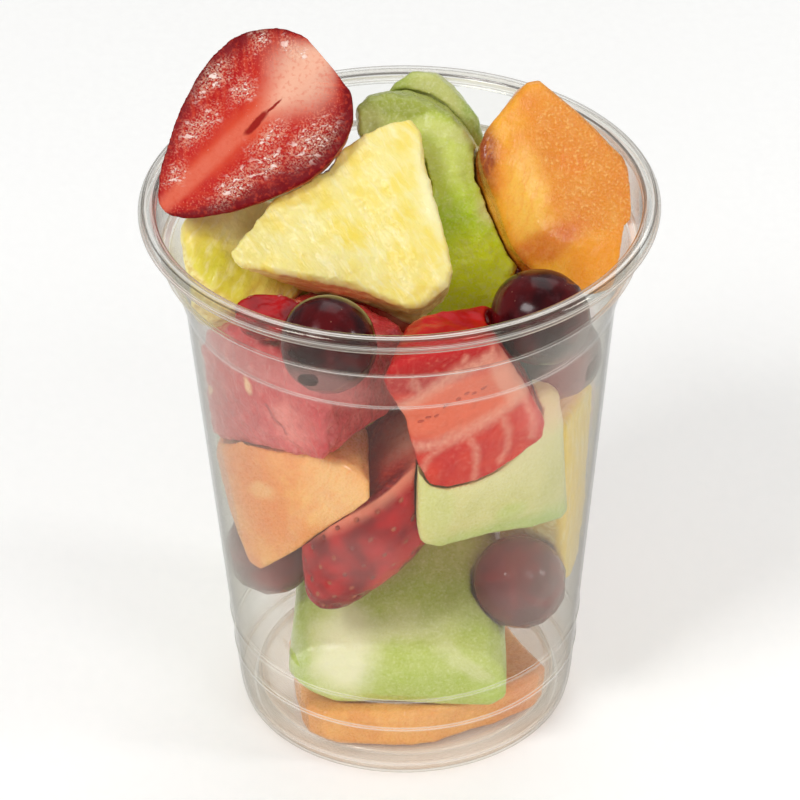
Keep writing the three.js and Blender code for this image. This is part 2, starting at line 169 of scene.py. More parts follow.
# %% Spin a profile into a round body
def spun(name, stations, steps):
    """A profile of (radius, height) points in mm, drawn by extruding one vertex, then spun about Z."""
    bpy.ops.object.select_all(action="DESELECT")
    bpy.ops.mesh.primitive_plane_add(size=MM)
    piece = bpy.context.object
    piece.name = name
    with editing(piece):
        bpy.ops.mesh.merge(type="CENTER")
        start = Vector((stations[0][0], 0, stations[0][1])) * MM
        bpy.ops.transform.translate(value=start)
        for here, there in zip(stations, stations[1:]):
            step = Vector((there[0] - here[0], 0, there[1] - here[1])) * MM
            bpy.ops.mesh.extrude_region_move(TRANSFORM_OT_translate={"value": step})
        bpy.ops.mesh.select_all(action="SELECT")
        bpy.ops.mesh.spin(steps=steps, angle=2 * math.pi, center=(0, 0, 0), axis=(0, 0, 1))
        bpy.ops.mesh.select_all(action="SELECT")
        bpy.ops.mesh.remove_doubles(threshold=0.002 * MM)
        bpy.ops.mesh.normals_make_consistent(inside=False)
    return piece


def put_in_place(piece, name):
    """Lays the body's long axis along the piece's own up axis, then moves it to its place for good."""
    piece.matrix_world = place_of(name) @ Matrix.Rotation(math.radians(-90), 4, "X")
    only(piece)
    bpy.ops.object.transform_apply(location=True, rotation=True, scale=True)


# %% Let neighbours press into a body
PRESS_ROOM = 0.3


def pressed_flat(piece, node):
    """Cuts the body where the CAD solid was trimmed by its neighbours."""
    limit = copy_of_solid(node, "limit")
    finish_modifier(limit, "DISPLACE", strength=PRESS_ROOM * MM, mid_level=0)
    finish_modifier(piece, "BOOLEAN", operation="INTERSECT", solver="MANIFOLD", object=limit)
    bpy.data.objects.remove(limit)


# %% Give flesh its grain
def grain(piece, name, size, depth, angle=0, level=0.55):
    """Lets a cloud pattern push the surface in and out. Size is one number, or one for each own axis."""
    size = size if isinstance(size, tuple) else (size, size, size)
    guide = bpy.data.objects.new("guide", None)
    bpy.context.scene.collection.objects.link(guide)
    lay = Matrix.Rotation(math.radians(angle), 4, "Z") @ Matrix.Diagonal((*[s * MM for s in size], 1))
    guide.matrix_world = place_of(name) @ lay
    bpy.context.view_layer.update()
    clouds = bpy.data.textures.new("grain", "CLOUDS")
    clouds.noise_scale = 1
    clouds.noise_depth = 2
    finish_modifier(
        piece, "DISPLACE", texture=clouds, texture_coords="OBJECT", texture_coords_object=guide,
        strength=depth * MM, mid_level=level,
    )
    bpy.data.objects.remove(guide)


FINE_FACES = 0.45
COARSE_FACES = 0.6


def soften(piece, voxel, rounds):
    """Rebuilds a body from small even faces and rubs its edges round."""
    finish_modifier(piece, "REMESH", mode="VOXEL", voxel_size=voxel * MM)
    finish_modifier(piece, "SMOOTH", factor=0.5, iterations=rounds)


def paint(piece, material):
    """One finish all over, whatever slots the modifiers left behind."""
    piece.data.materials.clear()
    piece.data.materials.append(material)
    piece.data.polygons.foreach_set("material_index", [0] * len(piece.data.polygons))


def settle(piece, node):
    """Smooth shading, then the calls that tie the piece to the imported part."""
    only(piece)
    bpy.ops.object.shade_smooth()
    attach(piece, "root")
    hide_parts(node)


# %% [markdown]
# ## Finishes written as sums
# A finish is a tree of nodes, and a tree that is wired by hand soon hides its idea.
# Here a socket is wrapped in a small class, so that `mask * 0.5 + 0.2` adds the Math nodes by itself.
# Colours never go through those, because a Math node would turn them grey; they meet in a Mix node.


# %% A socket that can be reckoned with
class Wire:
    """One output socket of a finish, used like a number."""

    def __init__(self, finish, socket):
        self.finish = finish
        self.socket = socket

    def maths(self, operation, *values):
        return self.finish.node("ShaderNodeMath", {"operation": operation}, dict(enumerate(values)))

    def __add__(self, other):
        return self.maths("ADD", self, other)

    __radd__ = __add__

    def __sub__(self, other):
        return self.maths("SUBTRACT", self, other)

    def __rsub__(self, other):
        return self.maths("SUBTRACT", other, self)

    def __mul__(self, other):
        return self.maths("MULTIPLY", self, other)

    __rmul__ = __mul__

    def __truediv__(self, other):
        return self.maths("DIVIDE", self, other)

    def __rtruediv__(self, other):
        return self.maths("DIVIDE", other, self)

    def __pow__(self, other):
        return self.maths("POWER", self, other)

    def __abs__(self):
        return self.maths("ABSOLUTE", self)

    def least(self, other):
        return self.maths("MINIMUM", self, other)

    def most(self, other):
        return self.maths("MAXIMUM", self, other)

    def between(self, low, high):
        """0 below low, 1 above high, and a soft step from one to the other; low may be the greater."""
        return self.finish.node(
            "ShaderNodeMapRange", {"interpolation_type": "SMOOTHSTEP"},
            {"Value": self, "From Min": low, "From Max": high},
        )


# %% A finish and its few methods
def as_light(red, green, blue):
    """The light that a colour from 0 to 255 stands for."""
    light = [c / 255 for c in (red, green, blue)]
    return (*[c / 12.92 if c <= 0.04045 else ((c + 0.055) / 1.055) ** 2.4 for c in light], 1)


OVAL_DEPTH = 60


class Finish:
    """A material under construction."""

    def __init__(self, name):
        self.material = bpy.data.materials.new(name)
        self.material.use_nodes = True
        self.tree = self.material.node_tree
        self.tree.nodes.clear()

    def node(self, kind, settings=None, sockets=None, output=0):
        made = self.tree.nodes.new(kind)
        for setting, value in (settings or {}).items():
            setattr(made, setting, value)
        for socket, value in (sockets or {}).items():
            if isinstance(value, Wire):
                self.tree.links.new(value.socket, made.inputs[socket])
            else:
                made.inputs[socket].default_value = value
        return Wire(self, made.outputs[output]) if made.outputs else None

    def mix(self, amount, first, second):
        """A colour between two colours. A colour is a wire, or red, green and blue from 0 to 255."""
        first, second = (c if isinstance(c, Wire) else as_light(*c) for c in (first, second))
        return self.node(
            "ShaderNodeMix", {"data_type": "RGBA"}, {0: amount, 6: first, 7: second}, output=2
        )

    def where(self):
        return self.node("ShaderNodeTexCoord", output=3)

    def own_axes(self, name):
        """The point in the piece's own axes, in millimetres."""
        place = place_of(name)
        return self.node("ShaderNodeMapping", {"vector_type": "TEXTURE"}, {
            "Vector": self.where(),
            "Location": place.to_translation(),
            "Rotation": place.to_euler(),
            "Scale": (MM, MM, MM),
        })

    def laid(self, point, size, angle=0, at=(0, 0, 0)):
        """The point measured from another place, in steps of size, along axes turned by an angle."""
        return self.node("ShaderNodeMapping", {"vector_type": "TEXTURE"}, {
            "Vector": point, "Location": at, "Rotation": (0, 0, math.radians(angle)), "Scale": size,
        })

    def axis(self, point, index):
        return self.node("ShaderNodeSeparateXYZ", None, {"Vector": point}, output=index)

    def clouds(self, point, size=1, detail=2, rough=0.5, warp=0):
        """Soft noise from 0 to 1, whose blobs are about this large."""
        return self.node("ShaderNodeTexNoise", None, {
            "Vector": point, "Scale": 1 / size, "Detail": detail, "Roughness": rough,
            "Distortion": warp,
        })

    def cells(self, point, size):
        """The distance to the nearest of many scattered points, in steps of size."""
        return self.node("ShaderNodeTexVoronoi", None, {"Vector": point, "Scale": 1 / size})

    def bent(self, point, size, amount):
        """The point pushed about by soft noise, so that straight marks come out wavy."""
        push = self.node(
            "ShaderNodeTexNoise", None, {"Vector": point, "Scale": 1 / size, "Detail": 2}, output=1
        )
        level = self.node("ShaderNodeVectorMath", {"operation": "SUBTRACT"}, {0: push, 1: (0.5, 0.5, 0.5)})
        return self.node("ShaderNodeVectorMath", {"operation": "MULTIPLY_ADD"}, {
            0: level, 1: (amount, amount, amount), 2: point,
        })

    def line(self, point, path, half):
        """1 along a path of (x, y) points on the face, 0 beyond the half width, with soft sides."""
        nearest = 99
        for start, end in zip(path, path[1:]):
            run, rise = end[0] - start[0], end[1] - start[1]
            near = self.laid(point, (1, 1, 1), math.degrees(math.atan2(rise, run)), (*start, 0))
            along, across = self.axis(near, 0), self.axis(near, 1)
            beyond = along - along.most(0).least(math.hypot(run, rise))
            nearest = (beyond * beyond + across * across).least(nearest)
        return (nearest ** 0.5).between(half, 0)

    def length(self, point):
        return self.node("ShaderNodeVectorMath", {"operation": "LENGTH"}, {0: point}, output=1)

    def oval(self, point, at, half, angle=0):
        """0 in the middle of an oval on the face, 1 on its outline. It reaches deep into the piece."""
        return self.length(self.laid(point, (*half, OVAL_DEPTH), angle, (*at, 0)))

    def spot(self, point, at, half, angle=0):
        """1 inside an oval on the face, 0 outside, with a soft edge."""
        return self.oval(point, at, half, angle).between(1.25, 0.75)

    def flesh(
        self, base, rough, height, bump=0.3, depth=0.4,
        soft=0, soft_reach=2, tint=(1, 0.5, 0.25), shine=0.5,
    ):
        """Closes the tree: wet flesh with a little light in it. Depth is the height's full range in mm."""
        normal = self.node("ShaderNodeBump", None, {
            "Strength": bump, "Distance": depth * MM, "Height": height,
        })
        shader = self.node("ShaderNodeBsdfPrincipled", None, {
            "Base Color": base, "Roughness": rough, "Normal": normal,
            "Subsurface Weight": soft, "Subsurface Radius": tint,
            "Subsurface Scale": soft_reach * MM, "IOR": 1.45, "Specular IOR Level": shine,
        })
        return self.close(shader)

    def close(self, shader):
        self.node("ShaderNodeOutputMaterial", None, {"Surface": shader})
        return self.material


def finish_on(name):
    """A new finish for one piece, and the point in that piece's own axes."""
    finish = Finish(name + "_finish")
    return finish, finish.own_axes(name)


print("finishes can be written as sums")

# %% [markdown]
# ## The cup
# The cup is one thermoformed shell, half a millimetre thick: a raised floor on a foot ring, a rounded heel,
# a straight wall with fine rings, a shoulder band for stacking, and a lip that is curled outward.
# It is drawn as one closed profile and spun, as a mould maker would draw it.
# The CAD solid has the same profile with fewer points, so the smooth one lies right on it.

# %% The profile of the shell
CUP_HEIGHT = 113
RIM_RADIUS = 49
CURL_RADIUS = 1.75
WALL = 0.5
FOOT_RADIUS = 31
FOOT_WIDTH = 2
FLOOR_TOP = 4
HEEL_TOP = 6
HEEL_RADIUS = 33.1
WALL_SLOPE = 0.0907
SHOULDER_BOTTOM = 93.2
SHOULDER_TOP = 102.5
SHOULDER_RADIUS = 44.1
NECK_RADIUS = 45.2
FINE_RINGS = (12.7, 20)
RING_RELIEF = 0.25
RING_HALF = 0.8
CUP_STEPS = 144
LIP_BOTTOM = 109.3
FLOOR_BAND = (3.3, 4.2)


def wall_radius(height):
    return HEEL_RADIUS + WALL_SLOPE * (height - HEEL_TOP)


def on_wall(height, out=0):
    """A point on the wall's outside, or a little further out."""
    return (wall_radius(height) + out, height)


def rounded(points, reach, steps=4):
    """The same line with its corners turned into short curves."""
    curve = [points[0]]
    for before, here, after in zip(points, points[1:], points[2:]):
        here = Vector(here)
        into, out = here - Vector(before), Vector(after) - here
        entry = here - into.normalized() * min(reach, into.length * 0.45)
        exit_ = here + out.normalized() * min(reach, out.length * 0.45)
        for i in range(steps + 1):
            t = i / steps
            curve.append(tuple(entry * (1 - t) ** 2 + here * 2 * t * (1 - t) + exit_ * t ** 2))
    curve.append(points[-1])
    return curve


def curl(radius, steps):
    """The lip, from the top of the wall over and down outside."""
    centre = (RIM_RADIUS - CURL_RADIUS, CUP_HEIGHT - CURL_RADIUS)
    start, end = math.pi * 1.04, -math.pi * 0.72
    angles = [start + (end - start) * i / steps for i in range(steps + 1)]
    return [(centre[0] + radius * math.cos(a), centre[1] + radius * math.sin(a)) for a in angles]


groove = FOOT_RADIUS - FOOT_WIDTH
outside = [
    (0, FLOOR_TOP - WALL), (groove - 0.8, FLOOR_TOP - WALL), (groove - 0.3, FLOOR_TOP - 1),
    (groove, 0), (FOOT_RADIUS, 0), (FOOT_RADIUS + 1.3, 1.2), (HEEL_RADIUS - 0.3, 3.4),
    (HEEL_RADIUS, HEEL_TOP),
]
for ring in FINE_RINGS:
    outside += [on_wall(ring - RING_HALF), on_wall(ring, RING_RELIEF), on_wall(ring + RING_HALF)]
outside += [
    on_wall(SHOULDER_BOTTOM - 0.7), on_wall(SHOULDER_BOTTOM, 0.3),
    (SHOULDER_RADIUS - 0.3, SHOULDER_TOP - 0.6), (NECK_RADIUS - 0.2, SHOULDER_TOP),
    (NECK_RADIUS, SHOULDER_TOP + 0.8), curl(CURL_RADIUS - WALL, 5)[0],
]
inside = [
    curl(CURL_RADIUS, 7)[0], (NECK_RADIUS - WALL, SHOULDER_TOP + 1),
    (NECK_RADIUS - 0.2 - WALL, SHOULDER_TOP + 0.3), (SHOULDER_RADIUS - 0.3 - WALL, SHOULDER_TOP - 0.4),
    (wall_radius(SHOULDER_BOTTOM) + 0.3 - WALL, SHOULDER_BOTTOM + 0.1),
    on_wall(SHOULDER_BOTTOM - 0.7, -WALL),
    (HEEL_RADIUS - WALL, HEEL_TOP), (HEEL_RADIUS - 0.8, 3.6), (FOOT_RADIUS + 0.9, 1.5),
    (FOOT_RADIUS - 0.2, WALL), (groove + WALL, WALL), (groove + WALL - 0.2, FLOOR_TOP - 0.5),
    (groove - 0.6, FLOOR_TOP), (0, FLOOR_TOP),
]
shell_line = (
    rounded(outside, 0.7) + curl(CURL_RADIUS - WALL, 20)[1:]
    + curl(CURL_RADIUS, 28)[::-1][:-1] + rounded(inside, 0.7)
)
print("the shell's profile has", len(shell_line), "points")

# %% Spin the shell
cup = spun("cup_shell", shell_line, CUP_STEPS)
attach(cup, "root")
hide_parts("cup")
cup.visible_shadow = False  # clear plastic lets nearly all the light in
only(cup)
bpy.ops.object.shade_smooth_by_angle(angle=math.radians(50))
print("the cup has", len(cup.data.polygons), "faces")

# %% [markdown]
# ## Clear plastic, and the mist on its inner side
# Thin clear plastic shows itself by its reflections, which grow towards a grazing view.
# Real glass in a render needs many light paths, so the shell is see-through and only its gloss is mixed in.
# Its rings and lip get pale painted highlight lines and grey painted shade lines, and its sides and edges
# painted shade.
# Chilled fruit fogs the inside below the shoulder, thickest where a cool grape sits close to the wall.
# Where wet fruit touches the wall the fog is wiped off, and those clear spots show the fruit's full colour.
# Juice has run down to the floor of the cup and stains it.

# %% Mist, wet spots, and painted highlight and shade lines
WET_SPOTS = [
    # turn about the cup, height, half width, half height, slant
    (-24, 97.9, 2.4, 1.5, -30), (64.4, 85.4, 3.4, 2.2, 0), (-20.3, 80.6, 2.6, 1.9, -20),
    (-60.6, 50.3, 6.6, 0.9, 51), (-28.3, 47.4, 3.6, 2.6, -25), (31.1, 64.1, 3, 2, 0),
    (52.2, 33.7, 2.2, 1.5, 25), (-39.8, 26.4, 3.4, 0.8, 60), (30.6, 17.2, 3.3, 1.4, -12),
]
FOG_SPOTS = [
    # turn about the cup, height, half width, half height, slant, and how much it hides
    (50, 87, 12, 10, 0, 0.2), (-21, 96.5, 10, 5, 0, 0.17), (-42, 84, 15, 14, 0, 0.07),
    (-52, 38, 9, 9, 0, 0.08), (20, 56, 16, 7, 0, 0.03),
    (-12, 55, 8, 7, -30, 0.09), (-48, 27, 9, 13, 0, 0.2), (42, 43, 12, 14, 0, 0.05),
]
# Pale lines painted along the rings and near the foot, as painted highlights.
PAINTED_RING_HIGHLIGHTS = [
    # height, half width, and how strongly its painted highlight shows
    (FINE_RINGS[0], 0.22, 0.35), (FINE_RINGS[1], 0.2, 0.26), (SHOULDER_BOTTOM, 0.2, 0.26),
    (SHOULDER_TOP, 0.26, 0.8), (SHOULDER_TOP - 0.75, 0.12, 0.25), (3.4, 0.3, 0.3),
]
# Lines painted round the curl of the lip: pale ones are painted highlights, grey ones painted shade.
PAINTED_LIP_LINES = [
    # turn about the middle of the lip's curl, half width in degrees, how much it hides, painted highlight
    # (True) or painted shade (False)
    (-74, 8, 0.5, True), (-46, 8, 0.6, True), (2, 5, 0.35, True), (58, 7, 0.45, False),
    (80, 7, 0.45, True), (119, 6, 0.5, True), (140, 12, 0.5, False), (166, 10, 0.4, True),
]
MIST_TOP = 102.4
LOW_MIST_FROM = (46, 36)
JUICE_FROM = (8, 4.5)
# power of the slant of the view, strength, and the gloss that is left straight on
LIP_GLOSS = (2.8, 0.8, 0.035)
WALL_GLOSS = (3, 0.75, 0.014)
CLEAR = (196, 193, 183)
MIST_TONE = (250, 182, 174)
LOW_MIST_TONE = (240, 236, 228)
JUICE_TONE = (222, 190, 160)
# Tones of the painted highlight lines, of the painted shade at the shell's edges, and of the painted shade
# lines and side veil.
PAINTED_HIGHLIGHT_TONE = (252, 248, 242)
PAINTED_EDGE_SHADE = (92, 94, 90)
PAINTED_SHADE_TONE = (96, 84, 74)


def oval_on_wall(finish, point, turn, height, half_width, half_height, slant):
    """How far a point of the wall lies from this spot: 0 in its middle, 1 on its outline."""
    radius = wall_radius(height) - WALL
    side = math.radians(turn)
    tilt = Matrix.Rotation(math.radians(slant), 3, "Y")
    at = Vector((radius * math.sin(side), -radius * math.cos(side), height)) * MM
    return finish.length(finish.node("ShaderNodeMapping", {"vector_type": "TEXTURE"}, {
        "Vector": point, "Location": at,
        "Rotation": (Matrix.Rotation(side, 3, "Z") @ tilt).to_euler(),
        "Scale": (half_width * MM, OVAL_DEPTH / 2 * MM, half_height * MM),
    }))


def mist_on(finish, point, height):
    """The share of the wall that is hidden by fog and juice."""
    in_mm = finish.laid(point, (MM, MM, MM))
    fine = finish.clouds(in_mm, 0.8, 1)
    broad = finish.clouds(in_mm, 14, 2)
    wobble = finish.clouds(in_mm, 1.6)
    fog = broad * 0.05 + fine * 0.012
    for *spot, amount in FOG_SPOTS:
        fog = oval_on_wall(finish, point, *spot).between(1.25, 0.5) * amount + fog
    clear = 0
    for spot in WET_SPOTS:
        clear = (oval_on_wall(finish, point, *spot) + wobble * 0.5).between(1.32, 1.2).most(clear)
    fog = fog * (1 - clear) * height.between(MIST_TOP + 0.4, MIST_TOP - 0.2)
    return fog + height.between(8.5, 3.8) * (broad * 0.3 + 0.1)


def painted_lip_lines(finish, point, height):
    """Painted highlight lines and painted shade lines on a thick curl, where it would bend light round, or
    past us.
    """
    across = finish.node("ShaderNodeCombineXYZ", None, {
        "X": finish.axis(point, 0), "Y": finish.axis(point, 1), "Z": 0,
    })
    radius = finish.length(across) * (1 / MM)
    rise, out = height - (CUP_HEIGHT - CURL_RADIUS), radius - (RIM_RADIUS - CURL_RADIUS)
    turn = finish.node("ShaderNodeMath", {"operation": "ARCTAN2"}, {0: rise, 1: out}) * (180 / math.pi)
    bright, dark = 0, 0
    for angle, half, share, is_bright in PAINTED_LIP_LINES:
        mask = abs(turn - angle).between(half, half * 0.4) * share
        if is_bright:
            bright = mask + bright
        else:
            dark = mask + dark
    return bright, dark


def clear_plastic(name, misted, lip=False):
    """The shell's finish. Gloss grows towards the edge; mist lies on the inner side alone. Painted
    highlights and painted shade lie on it as well.
    """
    finish = Finish(name)
    point = finish.where()
    height = finish.axis(point, 2) * (1 / MM)
    facing = finish.node("ShaderNodeLayerWeight", None, {"Blend": 0.5}, output=1)
    power, strength, straight_on = LIP_GLOSS if lip else WALL_GLOSS
    mirror = facing ** power * strength + straight_on
    bright, dark = painted_lip_lines(finish, point, height) if lip else (0, 0)
    if not misted:
        # Painted shade: a grey veil on the outside and the lip, growing as the view grazes the shell.
        dark = facing.between(0.45, 0.9) * 0.1 + dark
    # Painted highlights along the rings.
    for ring, half, caught in PAINTED_RING_HIGHLIGHTS:
        bright = abs(height - ring).between(half * 1.5, half * 0.5) * caught + bright
    mist = mist_on(finish, point, height) if misted else bright * 0
    film = mist + bright + dark
    amount = (mirror + film).least(1)
    share = (mirror / amount).least(1)
    tone = finish.mix(height.between(*LOW_MIST_FROM), MIST_TONE, LOW_MIST_TONE)
    tone = finish.mix(height.between(*JUICE_FROM), tone, JUICE_TONE)
    # A pale tone for the painted highlights, then grey for the painted shade.
    tone = finish.mix(bright / (film + 0.001), tone, PAINTED_HIGHLIGHT_TONE)
    tone = finish.mix(dark / (film + 0.001), tone, PAINTED_SHADE_TONE)
    tone = finish.mix(share.between(0.2, 0.8), tone, CLEAR)
    # Painted shade: the shell's edges turn dark grey where the view grazes them.
    tone = finish.mix(facing.between(0.74, 0.96), tone, PAINTED_EDGE_SHADE)
    shine = finish.node("ShaderNodeBsdfPrincipled", None, {
        "Base Color": tone, "Metallic": share, "Roughness": 0.06,
    })
    through = finish.node("ShaderNodeBsdfTransparent", None, {"Color": (0.982, 0.984, 0.978, 1)})
    return finish.close(finish.node("ShaderNodeMixShader", None, {0: amount, 1: through, 2: shine}))


# %% Which faces of the shell get which finish
cup.data.materials.append(clear_plastic("plastic_outside", False))
cup.data.materials.append(clear_plastic("plastic_inside_misted", True))
cup.data.materials.append(clear_plastic("plastic_lip", False, lip=True))
inner_faces = 0
for face in cup.data.polygons:
    middle, normal = face.center, face.normal
    inward = normal.x * middle.x + normal.y * middle.y < 0
    on_floor = FLOOR_BAND[0] * MM < middle.z < FLOOR_BAND[1] * MM and normal.z > 0.5
    if middle.z > LIP_BOTTOM * MM:
        face.material_index = 2
    elif inward or on_floor:
        face.material_index = 1
        inner_faces += 1
print("misted faces:", inner_faces)

# %% [markdown]
# ## Strawberries
# A halved strawberry is a thin red skin round a paler flesh, with a pink core and a small hollow.
# Fine veins run from the core out to the seeds. The seeds sit in dimples of the glossy skin.
# We spin the whole berry, cut it with the planes of the CAD solid, and soften it with small even faces.
# The dimples are real: every seed pushes its own spot of the skin in.

# %% Berry bodies
BERRY_STEPS = 48
BERRY_ROWS = 26
GOLDEN_ANGLE = math.radians(137.508)


def berry_body(name, length, width, taper, cuts, press):
    rows = [math.pi * row / BERRY_ROWS for row in range(BERRY_ROWS + 1)]
    line = [
        (max(width / 2 * math.sin(a) * (1 - taper * math.cos(a)), 0), -length / 2 * math.cos(a))
        for a in rows
    ]
    piece = spun(name + "_body", line, BERRY_STEPS)
    lay = Matrix.Rotation(math.radians(90), 3, "X")
    for direction, distance in cuts:
        outward = lay @ Vector(direction).normalized()
        with editing(piece):
            bpy.ops.mesh.bisect(
                plane_co=outward * distance * MM, plane_no=outward, use_fill=True, clear_outer=True,
            )
    put_in_place(piece, name)
    if press:
        pressed_flat(piece, name)
    return piece


def seeds_on_spiral(name, length, width, taper, count):
    """Points on the whole berry, in the part's axes, along the spiral that seeds grow on."""
    place = place_of(name)
    for i in range(count):
        a = math.acos(1 - 2 * (i + 0.5) / count)
        radius = width / 2 * math.sin(a) * (1 - taper * math.cos(a))
        turn = i * GOLDEN_ANGLE
        spot = Vector((radius * math.cos(turn), -length / 2 * math.cos(a), radius * math.sin(turn)))
        yield place @ (spot * MM)


def surface_of(piece):
    """A tree to find the nearest point of a piece's surface."""
    corners = [v.co for v in piece.data.vertices]
    return BVHTree.FromPolygons(corners, [tuple(p.vertices) for p in piece.data.polygons])


DIMPLE_REACH = 1.25
DIMPLE_DEPTH = 0.45


def dimple(piece, points):
    """Pushes the surface in round each point."""
    tree = KDTree(len(points))
    for i, point in enumerate(points):
        tree.insert(point, i)
    tree.balance()
    group = piece.vertex_groups.new(name="dimples")
    for vertex in piece.data.vertices:
        distance = tree.find(vertex.co)[2] / (DIMPLE_REACH * MM)
        if distance < 1:
            group.add([vertex.index], (1 - distance * distance) ** 2, "REPLACE")
    finish_modifier(piece, "DISPLACE", vertex_group="dimples", strength=-DIMPLE_DEPTH * MM, mid_level=0)
    piece.vertex_groups.clear()


# %% One seed, then its copies
SEED_SINK = 0.12
bpy.ops.object.select_all(action="DESELECT")
bpy.ops.mesh.primitive_uv_sphere_add(segments=8, ring_count=6, radius=0.5 * MM)
seed_master = bpy.context.object
seed_master.name = "seed_master"
with editing(seed_master):
    bpy.ops.transform.resize(value=(1.15, 1.9, 0.8), center_override=(0, 0, 0))
    bpy.ops.mesh.select_all(action="DESELECT")
for vertex in seed_master.data.vertices:
    vertex.select = vertex.co.y > 0.45 * MM
bpy.ops.object.mode_set(mode="EDIT")
bpy.ops.transform.resize(value=(0.45, 1, 0.6), center_override=(0, 0, 0))
bpy.ops.transform.translate(value=(0, 0.2 * MM, 0))
bpy.ops.object.mode_set(mode="OBJECT")


def lay_seeds(name, piece, points, along):
    """Copies of the seed on these surface points, all joined into one piece that rides with the fruit."""
    skin = surface_of(piece)
    copies = []
    for point in points:
        spot, normal, _, _ = skin.find_nearest(point)
        side = along.cross(normal).normalized()
        up = normal.cross(side)
        turn = Matrix((side, up, normal)).transposed().to_4x4()
        seed = twin(seed_master, "seed")
        seed.matrix_world = Matrix.Translation(spot - normal * SEED_SINK * MM) @ turn
        copies.append(seed)
    bpy.ops.object.select_all(action="DESELECT")
    for seed in copies:
        seed.select_set(True)
    bpy.context.view_layer.objects.active = copies[0]
    bpy.ops.object.join()
    joined = bpy.context.object
    joined.name = name
    bpy.ops.object.transform_apply(location=True, rotation=True, scale=True)
    bpy.ops.object.shade_smooth()
    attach(joined, "root")
    print(name, len(copies), "seeds")
    return joined


# %% The finish of skin, cut flesh and seeds
SKIN_RED = (182, 20, 26)
SKIN_DARK = (116, 4, 14)
FLESH_DEEP = (166, 12, 14)
FLESH_RED = (190, 28, 20)
FLESH_ORANGE = (212, 72, 44)
FLESH_CORE = (226, 118, 92)
FLESH_PALE = (248, 212, 182)
PAINTED_GLINT_TONE = (255, 232, 222)
PAINTED_HOLLOW_SHADE = (146, 16, 14)
BLUSH_TONE = (238, 150, 120)
CUT_DEPTH = (1.1, 0.5)
BLUSH_DEPTH = (4, 0.8)
BERRY_SHAPE = {
    # length, width, taper, cuts
    "strawberry_top": (43, 28.6, 0.41, (((0, 0, 1), 0), ((0.1, 1, 0), 20.3))),
    "strawberry_low": (50, 26, 0.3, (((-0.91, 0.42, 0), 7),)),
    "strawberry_small": (17, 11, 0.38, ()),
    "strawberry_rear": (38, 28, 0.35, (((0, 0, -1), 3), ((0, 1, 0), 15))),
}


